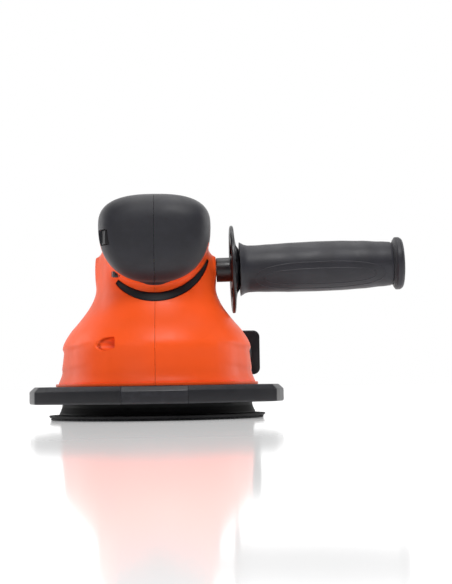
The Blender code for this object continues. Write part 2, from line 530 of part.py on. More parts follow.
def build_motor_fixed_parts():
    bearing("lower_bearing", LOWER_BEARING_R, SHAFT_R + FIT, LOWER_BEARING_Z, BEARING_W)
    bearing("upper_bearing", UPPER_BEARING_R, SHAFT_TOP_R + FIT, UPPER_BEARING_Z, UPPER_BEARING_W)

    seat_r, ledge_r = LOWER_BEARING_R + FIT, LOWER_BEARING_R - BEARING_LEDGE
    plate_top, floor = CARRIER_Z + CARRIER_T, LOWER_BEARING_Z - GAP
    profile = [(ledge_r, CARRIER_Z), (CARRIER_R, CARRIER_Z), (CARRIER_R, plate_top),
               (CARRIER_HUB_R + 2.0, plate_top), (CARRIER_HUB_R, CARRIER_TOP), (seat_r, CARRIER_TOP),
               (seat_r, floor), (ledge_r, floor)]
    carrier = turned("carrier", profile, ROUND)
    for i in range(AIR_HOLES):
        angle = 2 * pi * (i + 0.5) / AIR_HOLES
        at = (AIR_HOLE_PCD / 2 * cos(angle), AIR_HOLE_PCD / 2 * sin(angle))
        cut(carrier, rod("air hole", AIR_HOLE_R, CARRIER_Z - OVERRUN, plate_top + OVERRUN, at, 10))
    relief_r = POCKET_R + POCKET_WALL + GAP
    for y, z, _, reach, _ in CASE_SCREWS[:2]:
        relief_end = reach + BOSS_END_WALL + GAP
        cut(carrier, rod_along_x("relief", relief_r, -CARRIER_R, relief_end, y, z, POCKET_ROUND))
    finish(carrier, "bearing_carrier", "aluminium")

    stator = ring("stator", STATOR_R, STATOR_R - STATOR_WALL, STATOR_Z, STATOR_TOP, sides=ROUND)
    for middle in (0, 180):
        pole = sector(STATOR_BORE, STATOR_R - STATOR_WALL + OVERRUN, middle, POLE_HALF_ANGLE)
        join(stator, prism("pole", pole, STATOR_Z, STATOR_TOP))
    finish(stator, "stator_core", "steel")

    coil_r = STATOR_R - STATOR_WALL - 2 * GAP
    coil_foot, coil_top = STATOR_Z - COIL_OVERHANG + COIL_CLEAR, STATOR_TOP + COIL_OVERHANG
    for name, middle in (("field_coil_right", 0), ("field_coil_left", 180)):
        outline = sector(STATOR_BORE + COIL_CLEAR, coil_r, middle, COIL_HALF_ANGLE, 12)
        coil = prism("coil", outline, coil_foot, coil_top)
        window = sector(STATOR_BORE - OVERRUN, STATOR_R, middle, COIL_WINDOW_HALF_ANGLE)
        cut(coil, prism("window", window, STATOR_Z - GAP, STATOR_TOP + GAP))
        finish(coil, name, "copper")

    bracket_top = UPPER_BEARING_Z + UPPER_BEARING_W
    plate_top, floor = BRACKET_Z + BRACKET_T, UPPER_BEARING_Z - GAP
    cup, bore = UPPER_BEARING_R + FIT, SHAFT_R + WINDING_CLEAR
    hub = cup + BRACKET_HUB_WALL
    profile = [(bore, BRACKET_Z), (BRACKET_R, BRACKET_Z), (BRACKET_R, plate_top), (hub, plate_top),
               (hub, bracket_top), (cup, bracket_top), (cup, floor), (bore, floor)]
    finish(turned("bracket", profile, BRACKET_ROUND), "brush_bracket", "hard black")

    tube_w, tube_h = BRUSH_W / 2 + GAP, BRUSH_H / 2 + GAP
    for side, name in ((-1, "front"), (1, "rear")):
        near, far = side * (COMMUTATOR_R + BRUSH_TUBE_STANDOFF), side * (BRACKET_R + BRUSH_TUBE_PROUD)
        low_y, high_y = min(near, far), max(near, far)
        tube = block("tube", (-tube_w - BRUSH_TUBE_WALL, low_y, BRUSH_Z - tube_h - BRUSH_TUBE_WALL),
                     (tube_w + BRUSH_TUBE_WALL, high_y, BRUSH_Z + tube_h + BRUSH_TUBE_WALL))
        cut(tube, block("channel", (-tube_w, low_y - OVERRUN, BRUSH_Z - tube_h),
                        (tube_w, high_y + OVERRUN, BRUSH_Z + tube_h)))
        finish(tube, f"brush_holder_{name}", "brass")
        tip, tail = side * (COMMUTATOR_R + GAP), side * (COMMUTATOR_R + GAP + BRUSH_L)
        low_y, high_y = min(tip, tail), max(tip, tail)
        brush = block("brush", (-BRUSH_W / 2, low_y, BRUSH_Z - BRUSH_H / 2),
                      (BRUSH_W / 2, high_y, BRUSH_Z + BRUSH_H / 2))
        finish(brush, f"carbon_brush_{name}", "carbon")


# --- guard --------------------------------------------------------------------------------------


def guard_outline(inset=0.0):
    """The faceted outline, each facet moved inwards by the inset."""
    quarter = ((GUARD_HALF_WIDTH, GUARD_SIDE_Y), (GUARD_SHOULDER_X, GUARD_SHOULDER_Y),
               (GUARD_FRONT_X, GUARD_FRONT_Y))
    right = [(x, -y) for x, y in reversed(quarter)] + list(quarter)
    points = [Vector(p) for p in right + [(-x, -y) for x, y in right]]
    moved = []
    for i, point in enumerate(points):
        before = (point - points[i - 1]).normalized()
        after = (points[(i + 1) % len(points)] - point).normalized()
        bisector = Vector((-(before + after).y, (before + after).x)).normalized()
        normal = Vector((-before.y, before.x))
        moved.append(point + bisector * (inset / bisector.dot(normal)))
    return [(p.x, p.y) for p in moved]


def guard_blank():
    shoulder = GUARD_TOP - GUARD_CHAMFER
    levels = ((GUARD_BOTTOM, GUARD_FOOT_INSET), (GUARD_BOTTOM + GUARD_FOOT_CHAMFER, 0.0), (shoulder, 0.0),
              (GUARD_TOP, GUARD_CHAMFER_INSET))
    blank = loft("guard", [[(x, y, z) for x, y in guard_outline(inset)] for z, inset in levels])
    cut(blank, prism("inside", guard_outline(GUARD_WALL), GUARD_BOTTOM - OVERRUN, GUARD_CEILING),
        rod("opening", GUARD_OPENING_R, GUARD_BOTTOM, GUARD_TOP + OVERRUN, sides=ROUND))
    return blank


def guard_screw_places():
    angles = (radians(90 + 360 * i / GUARD_SCREWS) for i in range(GUARD_SCREWS))
    return [(GUARD_SCREW_R * cos(a), GUARD_SCREW_R * sin(a)) for a in angles]


def build_guard():
    guard = guard_blank()
    segment = copy_of(guard, "segment")
    back = -GUARD_FRONT_Y + SEGMENT_DEPTH
    side = GUARD_FRONT_X - SEGMENT_MARGIN
    low, high = GUARD_BOTTOM - OVERRUN, GUARD_TOP + OVERRUN
    front = -GUARD_FRONT_Y - OVERRUN
    cut(guard, block("gap", (-side, front, low), (side, back, high)))
    keep_inside(segment, block("piece", (-side + GAP, front, low), (side - GAP, back - GAP, high)))
    tongue_top = GUARD_CEILING - GAP
    for x in (-side * TONGUE_PLACE, side * TONGUE_PLACE):
        corner = (x - TONGUE_HALF, back - TONGUE_OVERLAP, tongue_top - TONGUE_T)
        tongue = block("tongue", corner, (x + TONGUE_HALF, back + TONGUE_REACH, tongue_top))
        lug = block("lug", corner, (x + TONGUE_HALF, back - TONGUE_OVERLAP * 0.3, GUARD_CEILING + 1.0))
        join(segment, join(tongue, lug))
    for at in guard_screw_places():
        cut(guard, rod("hole", SCREW_R + FIT, GUARD_CEILING - OVERRUN, GUARD_TOP + OVERRUN, at, SCREW_ROUND))
    finish(guard, "guard_plate", "guard grey")
    finish(segment, "guard_front_segment", "guard grey", (0.0, back, GUARD_BOTTOM))

    foot = FOAM_Z + LIP_BOTTOM + LIP_T + SKIRT_CLEAR
    seat = GUARD_CEILING - GAP
    under_flange, inner_r = seat - SKIRT_FLANGE_T, SKIRT_TOP_R - SKIRT_WALL
    profile = [(SKIRT_FOOT_R - SKIRT_WALL, foot), (SKIRT_FOOT_R, foot), (SKIRT_TOP_R, GUARD_BOTTOM),
               (SKIRT_TOP_R, under_flange), (SKIRT_FLANGE_R, under_flange), (SKIRT_FLANGE_R, seat),
               (inner_r, seat), (inner_r, GUARD_BOTTOM)]
    finish(turned("skirt", profile, PAD_ROUND), "pad_brake_skirt", "rubber")

    for number, at in enumerate(guard_screw_places(), 1):
        profile = [(0, seat - SCREW_HEAD_T), (SCREW_HEAD_R, seat - SCREW_HEAD_T), (SCREW_HEAD_R, seat),
                   (SCREW_R, seat), (SCREW_R, seat + GUARD_SCREW_L), (0, seat + GUARD_SCREW_L)]
        finish(turned("screw", profile, SCREW_ROUND, at), f"guard_screw_{number}", "steel")


# --- body ---------------------------------------------------------------------------------------


def oval(half_x, half_y, z, sides=ROUND):
    steps = (2 * pi * i / sides for i in range(sides))
    return [(half_x * cos(a), half_y * sin(a), z) for a in steps]


def dome_solid(inset=0.0):
    """The dome and neck or, with an inset, their hollow, which runs out through the bottom."""
    if inset:
        rings = [oval(DOME_R - inset, DOME_R - inset, BODY_Z - OVERRUN)]
    else:
        rings = [oval(BASE_FLANGE_R, BASE_FLANGE_R, z) for z in (BODY_Z, BODY_Z + BASE_FLANGE_T)]
    for z, half_x, half_y in DOME[::2] if inset else DOME:
        rings.append(oval(half_x - inset, half_y - inset, z))
    return loft("dome", rings)


def neck_core(inset):
    """What is left of the dome and neck under a groove as deep as the inset."""
    return loft("core", [oval(half_x - inset, half_y - inset, z) for z, half_x, half_y in DOME])


def egg(y, half_x, middle, rise, drop):
    points = []
    for i in range(HEAD_POINTS):
        angle = 2 * pi * i / HEAD_POINTS
        across, up = cos(angle), sin(angle)
        power, reach = (UPPER_POWER, rise) if up >= 0 else (LOWER_POWER, drop)
        x = half_x * abs(across) ** (2 / power) * (1 if across >= 0 else -1)
        z = middle + reach * abs(up) ** (2 / power) * (1 if up >= 0 else -1)
        points.append((x, y, z))
    return points


def head_solid(inset=0.0, stations=HEAD):
    """The head and rear handle, shrunk by the inset all round."""
    rings = []
    for y, half_x, middle, rise, drop in stations:
        share = (y - NOSE_Y) / (TAIL_Y - NOSE_Y)
        from_nose, from_tail = max(0.0, 1 - share * NOSE_ROUNDING), max(0.0, 1 - (1 - share) * TAIL_ROUNDING)
        moved = y + inset * from_nose - inset * from_tail
        rings.append(egg(moved, half_x - inset, middle, rise - inset, drop - inset))
    return loft("head", rings)


def cover_zone(name, grow):
    """The space of the soft cover on the nose or along the grip, grown by the gap that the body leaves."""
    if name == "nose":
        return block("zone", (-ASIDE, NOSE_Y - OVERRUN, NOSE_FLOOR), (ASIDE, NOSE_BACK_Y + grow - GAP, SKY))
    front, rear = NOSE_BACK_Y + GAP - grow, GRIP_END_Y + grow
    levels = [STATOR_Z + up - grow for _, up in GRIP_EDGE]
    places = [front] + [y for y, _ in GRIP_EDGE[1:-1]] + [rear]
    return prism_along_x("zone", list(zip(places, levels)) + [(rear, SKY), (front, SKY)], -ASIDE, ASIDE)


def half_space(side):
    """A block that fills one side of the seam. Side is -1 for the left and 1 for the right."""
    near, far = side * SEAM / 2, side * ASIDE
    return block("side", (min(near, far), NOSE_Y - ASIDE, -ASIDE), (max(near, far), TAIL_Y + ASIDE, SKY))


def strip_outline(grow=0.0):
    """The crescent under the nose: between two arcs, widest at the bottom and narrow at both ends."""
    upper, lower = [], []
    for i in range(STRIP_STEPS + 1):
        turn = STRIP_FROM + (STRIP_TO - STRIP_FROM) * i / STRIP_STEPS
        a = radians(turn)
        reach = STRIP_TO if turn > 0 else -STRIP_FROM
        thickness = STRIP_END_T + (STRIP_T - STRIP_END_T) * max(0.0, 1 - (turn / reach) ** 2) ** 0.7
        upper.append(((STRIP_INNER_X - grow) * sin(a), STRIP_CENTRE_Z - (STRIP_INNER_DROP - grow) * cos(a)))
        outer = thickness + grow
        lower.append(((STRIP_INNER_X + outer) * sin(a), STRIP_CENTRE_Z - (STRIP_INNER_DROP + outer) * cos(a)))
    return upper + lower[::-1]


def strip_blank(name, grow=0.0):
    """The crescent pulled from in front of the nose to well inside the neck."""
    return prism_along_y(name, strip_outline(grow), NOSE_Y - OVERRUN, -STRIP_INNER_X / 4)


def neck_radius_at(azimuth):
    half_x, half_y = NECK_HALF
    a = radians(azimuth)
    return 1 / ((cos(a) / half_x) ** 2 + (sin(a) / half_y) ** 2) ** 0.5


def dial_centre():
    reach = neck_radius_at(DIAL_AZ) + DIAL_PROUD - DIAL_R
    return reach * cos(radians(DIAL_AZ)), reach * sin(radians(DIAL_AZ))


def duct(name, radius, start, end):
    return rod_along_y(name, radius, start, end, DUCT_X, DUCT_Z, ROUND)


def case_bosses():
    """Bosses that the case screws run in, each from the seat of the head to past the seam."""
    bosses = []
    for y, z, seat, reach, (along_y, along_z) in CASE_SCREWS:
        start, end = seat - POCKET_FLOOR, reach + BOSS_END_WALL
        bosses.append(rod_along_x("boss", CASE_BOSS_R, seat, end, y, z, POCKET_ROUND))
        bosses.append(rod_along_x("pocket tube", POCKET_R + POCKET_WALL, -ASIDE, seat + POCKET_FLOOR, y, z))
        ends = (y - RIB_T / 2 * abs(along_z), y + RIB_L * along_y + RIB_T / 2 * abs(along_z))
        levels = (z - RIB_T / 2 * abs(along_y), z + RIB_L * along_z + RIB_T / 2 * abs(along_y))
        bosses.append(block("rib", (start, min(ends), min(levels)), (end, max(ends), max(levels))))
    return bosses


def case_screw_cutters():
    cutters = []
    for y, z, seat, reach, _ in CASE_SCREWS:
        cutters.append(rod_along_x("pocket", POCKET_R, -ASIDE, seat, y, z, POCKET_ROUND))
        cutters.append(rod_along_x("hole", SCREW_R + FIT, seat - OVERRUN, reach + GAP, y, z, SCREW_ROUND))
    return cutters


def handle_bosses():
    near = BOSS_FACE_X - BOSS_DEPTH
    return [rod_along_x("boss", BOSS_R, min(s * near, s * BOSS_FACE_X), max(s * near, s * BOSS_FACE_X),
                        0.0, HANDLE_Z) for s in (-1, 1)]


def guard_bosses():
    top = BODY_Z + GUARD_SCREW_L - 1.5
    return [rod("boss", SCREW_R + SCREW_BOSS_WALL, BODY_Z, top, at) for at in guard_screw_places()]


def rocker_slot():
    half_long, half_high = ROCKER_LONG / 2 + ROCKER_END_GAP, ROCKER_HIGH / 2 + ROCKER_SIDE_GAP
    inner_x = ROCKER_DEEP - ROCKER_PROUD_X + GAP
    return block("rocker slot", (-ASIDE, ROCKER_Y - half_long, ROCKER_Z - half_high),
                 (inner_x, ROCKER_Y + half_long, ROCKER_Z + half_high))


def body_cutters():
    """Everything that is taken out of the body after its hollow."""
    groove = strip_blank("groove", GAP)
    cut(groove, neck_core(STRIP_DEPTH + GAP))
    half = DIAL_T / 2 + DIAL_CLEAR
    dial_slot = rod("dial slot", DIAL_R + DIAL_CLEAR, DIAL_Z - half, DIAL_Z + half, dial_centre(), ROUND)
    vents = []
    for i in range(VENTS):
        z = VENT_Z + i * VENT_PITCH
        vents.append(block("vent", (-VENT_W / 2, VENT_FROM_Y, z), (VENT_W / 2, DOME_R, z + VENT_H)))
    gland = rod_along_y("gland hole", GLAND_R + FIT, TAIL_Y - 2 * GLAND_L, TAIL_Y + OVERRUN, 0.0, TAIL_Z)
    inserts = rod_along_x("insert bore", INSERT_R + FIT, -ASIDE, ASIDE, 0.0, HANDLE_Z)
    screw_holes = [rod("hole", SCREW_R + FIT, BODY_Z - OVERRUN, BODY_Z + GUARD_SCREW_L, at, SCREW_ROUND)
                   for at in guard_screw_places()]
    duct_bore = duct("duct bore", DUCT_R + FIT, DUCT_INNER_END_Y, BOX_Y[0])
    return [groove, dial_slot, rocker_slot(), gland, inserts, duct_bore] + vents + screw_holes


def build_body():
    outer = join(dome_solid(), head_solid())
    covers = {}
    for name in ("nose", "grip"):
        cover = keep_inside(cover_zone(name, 0.0), outer, keep=True)
        cut(cover, head_solid(COVER_T))
        covers[name] = cover

    body = copy_of(outer, "body")
    for name in ("nose", "grip"):
        recess = cover_zone(name, GAP)
        cut(recess, head_solid(COVER_T + GAP))
        cut(body, recess)
    join(body, duct("fairing", DUCT_R + FIT + FAIRING_WALL, FAIRING_START_Y, FAIRING_END_Y))
    cut(body, dome_solid(WALL), head_solid(HEAD_WALL, HEAD[::2]))
    inside = join(dome_solid(BOSS_SINK), head_solid(COVER_T + GAP + 0.5))
    for boss in case_bosses():
        join(body, keep_inside(boss, inside, keep=True))
    join(body, *handle_bosses(), *guard_bosses())
    cut(body, *body_cutters(), *case_screw_cutters())

    for side, name in ((-1, "left"), (1, "right")):
        half = keep_inside(copy_of(body, "half"), half_space(side))
        finish(half, f"housing_{name}", "orange")
        for cover, long_name in (("nose", "nose_cover"), ("grip", "handle_grip")):
            piece = keep_inside(copy_of(covers[cover], "piece"), half_space(side))
            if side < 0:
                cut(piece, rocker_slot(), *case_screw_cutters())
            finish(piece, f"{long_name}_{name}", "soft black")

    strip = keep_inside(strip_blank("strip"), dome_solid())
    cut(strip, neck_core(STRIP_DEPTH))
    finish(strip, "neck_trim_strip", "rubber")

    for number, (y, z, seat, reach, _) in enumerate(CASE_SCREWS, 1):
        head_end = seat - SCREW_HEAD_T
        profile = [(0, head_end - GAP), (SCREW_HEAD_R, head_end - GAP), (SCREW_HEAD_R, seat - GAP),
                   (SCREW_R, seat - GAP), (SCREW_R, reach), (0, reach)]
        screw = turned("screw", profile, SCREW_ROUND)
        screw.data.transform(Matrix.Translation(Vector((0, y, z)) * MM) @ Matrix.Rotation(pi / 2, 4, "Y"))
        finish(screw, f"case_screw_{number}", "steel")
    discard(outer, body, inside, *covers.values())


# --- side handle --------------------------------------------------------------------------------


def handle_frame():
    """Takes a piece built along +Z to the side handle's axis, with its foot on the boss face."""
    turn = Matrix.Rotation(pi / 2 - radians(HANDLE_TILT), 4, "Y")
    return Matrix.Translation(Vector((BOSS_FACE_X, 0.0, HANDLE_Z)) * MM) @ turn


def along_handle(profile, sides=ROUND):
    """A solid turned about the side handle's axis. The profile is (radius, distance from the boss face)."""
    piece = turned("turned", profile, sides)
    piece.data.transform(handle_frame())
    return piece


def build_side_handle():
    pivot = (BOSS_FACE_X, 0.0, HANDLE_Z)
    for side, name in ((-1, "left"), (1, "right")):
        face, depth = side * (BOSS_FACE_X - GAP), side * (BOSS_FACE_X - BOSS_DEPTH)
        insert = rod_along_x("insert", INSERT_R, min(face, depth), max(face, depth), 0.0, HANDLE_Z)
        cut(insert, rod_along_x("thread", STUD_R + FIT, -ASIDE, ASIDE, 0.0, HANDLE_Z))
        finish(insert, f"handle_insert_{name}", "brass")

    stud = along_handle([(0, -STUD_REACH), (STUD_R, -STUD_REACH), (STUD_R, STUD_L - STUD_REACH),
                         (0, STUD_L - STUD_REACH)], SMALL_ROUND)
    finish(stud, "side_handle_stud", "steel", pivot)

    disc_x = GAP + COLLAR_L
    bore = STUD_R + FIT
    sleeve_end = SLEEVE_START + SLEEVE_L
    dished = disc_x + DISC_DISH
    profile = [(bore, GAP), (COLLAR_R, GAP), (COLLAR_R, disc_x), (WINDOW_INNER_R - DISC_RIM, dished),
               (DISC_R - DISC_RIM, disc_x), (DISC_R, disc_x + DISC_DISH / 2), (DISC_R, disc_x + DISC_T),
               (WINDOW_INNER_R, dished + DISC_T), (CORE_R + CORE_FILLET, SLEEVE_START - GAP),
               (CORE_R, SLEEVE_START), (CORE_R, sleeve_end), (bore, sleeve_end)]
    core = along_handle(profile, CORE_ROUND)
    half_window = 180 * WINDOW_SHARE / WINDOWS
    for i in range(WINDOWS):
        outline = sector(WINDOW_INNER_R, WINDOW_OUTER_R, 360 * i / WINDOWS, half_window, 4)
        window = prism("window", outline, disc_x - OVERRUN / 2, dished + DISC_T + OVERRUN)
        window.data.transform(handle_frame())
        cut(core, window)
    finish(core, "side_handle_core", "hard black", pivot)

    outer = [(r, SLEEVE_START + GAP + share * (SLEEVE_L - 2 * GAP)) for share, r in SLEEVE]
    sleeve = [(CORE_R + FIT, outer[0][1])] + outer + [(CORE_R + FIT, outer[-1][1])]
    finish(along_handle(sleeve), "side_handle_grip", "soft black", pivot)

    cap_x = sleeve_end + GAP
    cap_end = cap_x + END_CAP_L
    profile = [(0, cap_x), (END_CAP_R - 2.0, cap_x), (END_CAP_R, cap_x + END_CAP_NEAR_EDGE),
               (END_CAP_R, cap_end - END_CAP_FAR_EDGE), (END_CAP_R - END_CAP_FAR_EDGE, cap_end), (0, cap_end)]
    finish(along_handle(profile), "side_handle_end_cap", "soft black", pivot)


# --- dust unit ----------------------------------------------------------------------------------


def build_dust_unit():
    inner = DUCT_R - DUCT_WALL
    start = FAIRING_END_Y - SPIGOT_INSERT
    box_front = BOX_Y[0]
    spigot = duct("spigot", DUCT_R, start, box_front + SPIGOT_IN_BOX)
    join(spigot, duct("collar", SPIGOT_COLLAR_R, box_front - GAP - SPIGOT_COLLAR_W, box_front - GAP))
    cut(spigot, duct("bore", inner, start - OVERRUN, box_front + SPIGOT_IN_BOX + OVERRUN))
    finish(spigot, "dust_spigot", "hard black")

    low, high = (BOX_X[0], BOX_Z[0]), (BOX_X[1], BOX_Z[1])
    door_y = BOX_Y[1] - DOOR_T
    box = prism_along_y("box", rounded_rectangle(low, high, BOX_ROUND), box_front, door_y - GAP)
    inner_low = (low[0] + BOX_WALL, low[1] + BOX_WALL)
    inner_high = (high[0] - BOX_WALL, high[1] - BOX_WALL)
    hollow = rounded_rectangle(inner_low, inner_high, BOX_ROUND - BOX_WALL)
    cut(box, prism_along_y("hollow", hollow, box_front + BOX_WALL, BOX_Y[1]),
        duct("mouth", DUCT_R + FIT, box_front - OVERRUN, box_front + BOX_WALL + OVERRUN))
    pin_y, pin_z = BOX_Y[1] - DOOR_T / 2, BOX_Z[0] - DOOR_PIN_DROP
    middle = sum(BOX_X) / 2
    knuckle_r = DOOR_PIN_R + FIT + KNUCKLE_WALL
    for x in (middle - EAR_PLACE, middle + EAR_PLACE):
        ear = rod_along_x("ear", knuckle_r, x - EAR_HALF, x + EAR_HALF, pin_y, pin_z)
        half, past = EAR_HALF - 0.5, EAR_HALF + OVERRUN
        root = block("root", (x - half, door_y - 8.0, pin_z - 1.5),
                     (x + half, pin_y, BOX_Z[0] + BOX_WALL / 2))
        clear = block("clear", (x - past, door_y - 1.0, BOX_Z[0] - GAP), (x + past, BOX_Y[1] + past, DUCT_Z))
        hole = rod_along_x("hole", DOOR_PIN_R + FIT, x - past, x + past, pin_y, pin_z)
        join(box, cut(join(ear, root), clear, hole))
    finish(box, "dust_box", "hard black", (DUCT_X, box_front, DUCT_Z))

    door = prism_along_y("door", rounded_rectangle(low, high, BOX_ROUND), door_y, BOX_Y[1])
    knuckle = rod_along_x("knuckle", knuckle_r, middle - KNUCKLE_HALF, middle + KNUCKLE_HALF, pin_y, pin_z)
    half = KNUCKLE_HALF - 0.5
    web_top = pin_z + 2 * DOOR_PIN_DROP
    web = block("web", (middle - half, pin_y - 1.0, pin_z), (middle + half, pin_y + 1.0, web_top))
    tab_top = BOX_Z[1] - TAB_DROP
    tab = block("tab", (middle - TAB_HALF, BOX_Y[1] - 1.0, tab_top - TAB_T),
                (middle + TAB_HALF, BOX_Y[1] + TAB_PROUD, tab_top))
    join(door, knuckle, web, tab)
    past = KNUCKLE_HALF + OVERRUN
    cut(door, rod_along_x("pin hole", DOOR_PIN_R + FIT, middle - past, middle + past, pin_y, pin_z))
    finish(door, "dust_box_door", "hard black", (middle, pin_y, pin_z))

    ends = (middle - DOOR_PIN_HALF, middle + DOOR_PIN_HALF)
    finish(rod_along_x("pin", DOOR_PIN_R, *ends, pin_y, pin_z, POCKET_ROUND), "dust_door_pin", "steel")

    filter_y = box_front + FILTER_PLACE
    filter_low = (inner_low[0] + GAP, inner_low[1] + GAP)
    filter_high = (inner_high[0] - GAP, inner_high[1] - GAP)
    outline = rounded_rectangle(filter_low, filter_high, BOX_ROUND - BOX_WALL)
    finish(prism_along_y("filter", outline, filter_y, filter_y + FILTER_T), "dust_filter", "filter")


# --- controls -----------------------------------------------------------------------------------


def build_controls():
    x, y = dial_centre()
    outline = []
    for i in range(DIAL_RIBS * 2):
        radius = DIAL_R if i % 2 else DIAL_R - DIAL_RIB_DEPTH
        angle = pi * i / DIAL_RIBS
        outline.append((x + radius * cos(angle), y + radius * sin(angle)))
    dial_top = DIAL_Z + DIAL_T / 2
    dial = prism("dial", outline, DIAL_Z - DIAL_T / 2, dial_top)
    join(dial, rod("dial pin", DIAL_PIN_R, DIAL_Z, dial_top + DIAL_PIN_L, (x, y), SCREW_ROUND))
    finish(dial, "speed_dial", "hard black", (x, y, DIAL_Z))
    base = dial_top + 1.0
    pot = block("pot", (x - 3.0, y - 2.6, base), (x + 4.5, y + 4.5, base + DIAL_PIN_L + 0.5))
    pin_end = dial_top + DIAL_PIN_L + GAP
    cut(pot, rod("pin hole", DIAL_PIN_R + FIT, base - OVERRUN, pin_end, (x, y), SCREW_ROUND))
    finish(pot, "speed_potentiometer", "hard black")

    low_y, high_y = ROCKER_Y - ROCKER_LONG / 2, ROCKER_Y + ROCKER_LONG / 2
    outer_x = -ROCKER_PROUD_X
    inner_x = outer_x + ROCKER_DEEP
    # Seen from above, two flats that meet in the middle; the rear one stands proud
    cap = ((inner_x, low_y), (inner_x, high_y), (outer_x - 0.9, high_y), (outer_x + 0.2, ROCKER_Y),
           (outer_x + 1.8, low_y))
    rocker = prism("rocker", cap, ROCKER_Z - ROCKER_HIGH / 2, ROCKER_Z + ROCKER_HIGH / 2)
    finish(rocker, "power_rocker", "hard black", (inner_x, ROCKER_Y, ROCKER_Z))
    module_x, module_y = inner_x + 1.0, ROCKER_Y + SWITCH_SETBACK
    deep, long, high = SWITCH_SIZE
    module = block("module", (module_x, module_y - long / 2, ROCKER_Z - high / 2),
                   (module_x + deep, module_y + long / 2, ROCKER_Z + high / 2))
    finish(module, "switch_module", "hard black")

    board_z = SHAFT_TOP + BOARD_CLEAR
    board = block("board", (-BOARD_HALF_X, BOARD_Y[0], board_z),
                  (BOARD_HALF_X, BOARD_Y[1], board_z + BOARD_T))
    join(board, block("choke", (-CHOKE_HALF_X, CHOKE_Y[0], board_z + BOARD_T / 2),
                      (CHOKE_HALF_X, CHOKE_Y[1], board_z + CHOKE_H)))
    finish(board, "speed_board", "board green")

    start, flange_y = TAIL_Y - GLAND_INSERT, TAIL_Y + GAP
    flange_end, end = flange_y + GLAND_FLANGE_T, start + GLAND_L
    profile = [(GLAND_BORE, start), (GLAND_R, start), (GLAND_R, flange_y), (GLAND_FLANGE_R, flange_y),
               (GLAND_FLANGE_R, flange_end), (GLAND_R - 0.8, flange_end + 0.6), (GLAND_R - 1.6, end),
               (GLAND_BORE, end)]
    gland = turned("gland", profile, SMALL_ROUND)
    gland.data.transform(Matrix.Translation(Vector((0, 0, TAIL_Z)) * MM) @ Matrix.Rotation(-pi / 2, 4, "X"))
    finish(gland, "cable_gland", "rubber")


def main():
    clear_scene()
    build_pad()
    build_rotor()
    build_motor_fixed_parts()
    build_guard()
    build_body()
    build_side_handle()
    build_dust_unit()
    build_controls()


main()
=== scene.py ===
import json
from collections import namedtuple
from math import atan2, copysign, cos, degrees, hypot, pi, radians, sin, sqrt

import bmesh
import bpy
from mathutils import Matrix, Vector


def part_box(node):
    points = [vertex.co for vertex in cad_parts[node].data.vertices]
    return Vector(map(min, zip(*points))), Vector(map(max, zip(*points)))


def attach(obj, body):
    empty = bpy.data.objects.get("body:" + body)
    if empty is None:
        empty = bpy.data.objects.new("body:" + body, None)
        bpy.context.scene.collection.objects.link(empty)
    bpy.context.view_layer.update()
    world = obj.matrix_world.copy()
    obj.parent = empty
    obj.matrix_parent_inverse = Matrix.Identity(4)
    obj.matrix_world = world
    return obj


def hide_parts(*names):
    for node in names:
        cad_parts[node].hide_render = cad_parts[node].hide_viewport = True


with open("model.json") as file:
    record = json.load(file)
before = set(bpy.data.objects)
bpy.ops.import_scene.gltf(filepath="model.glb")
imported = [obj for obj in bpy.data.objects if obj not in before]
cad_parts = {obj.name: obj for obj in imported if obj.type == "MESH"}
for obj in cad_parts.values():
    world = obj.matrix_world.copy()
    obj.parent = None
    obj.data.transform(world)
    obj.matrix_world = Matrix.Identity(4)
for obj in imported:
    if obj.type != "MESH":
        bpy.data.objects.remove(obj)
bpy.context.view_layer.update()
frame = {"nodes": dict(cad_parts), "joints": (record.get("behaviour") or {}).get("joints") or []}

bl_info = {
    "name": "Orbital Sander",
    "version": (1, 0, 0),
    "blender": (4, 5, 0),
    "location": "View3D > Sidebar > Sander",
    "description": "Builds the visible surfaces of an orbital sander round its packed frame",
    "category": "Object",
}

MM = 0.001
Place = namedtuple("Place", "x y z")


def box_mm(name):
    """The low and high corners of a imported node, in mm."""
    return [Place(*(value / MM for value in corner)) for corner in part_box(name)]


def centre_mm(name):
    low, high = box_mm(name)
    return Place(*((a + b) / 2 for a, b in zip(low, high)))


def joint_named(name):
    return next(joint for joint in frame["joints"] if joint["name"] == name)


# All sizes from here on are in mm, unless they say otherwise
GAP = 0.3  # clear space between neighbouring pieces
OVERRUN = 3.0  # how far a cutter goes past what it cuts
GUARD_LOW, GUARD_HIGH = box_mm("guard_plate")
BODY_FOOT = box_mm("housing_right")[0].z
DUCT = centre_mm("dust_spigot")
HANDLE_Z = centre_mm("handle_insert_right").z
HANDLE_FACE = box_mm("handle_insert_right")[1].x + GAP

# Dome and neck: height, half width, half depth
DOME = (
    (20.1, 69.0, 69.0), (25.0, 68.7, 68.7), (27.0, 67.8, 67.7), (30.1, 66.8, 66.7), (36.1, 66.0, 65.8),
    (41.0, 65.7, 65.2), (46.0, 65.8, 65.2), (49.5, 65.7, 65.0), (52.0, 65.0, 64.4), (54.6, 63.7, 63.2),
    (57.9, 61.7, 61.2), (61.8, 58.9, 58.4), (66.0, 55.2, 54.8), (70.7, 51.4, 51.0), (76.1, 47.4, 47.3),
    (81.6, 44.3, 44.3), (88.1, 42.1, 41.9), (96.0, 41.7, 41.1), (104.1, 41.3, 41.0), (111.0, 40.0, 39.6),
    (117.0, 37.3, 36.8), (122.1, 33.0, 32.5), (124.0, 26.0, 25.0),
)
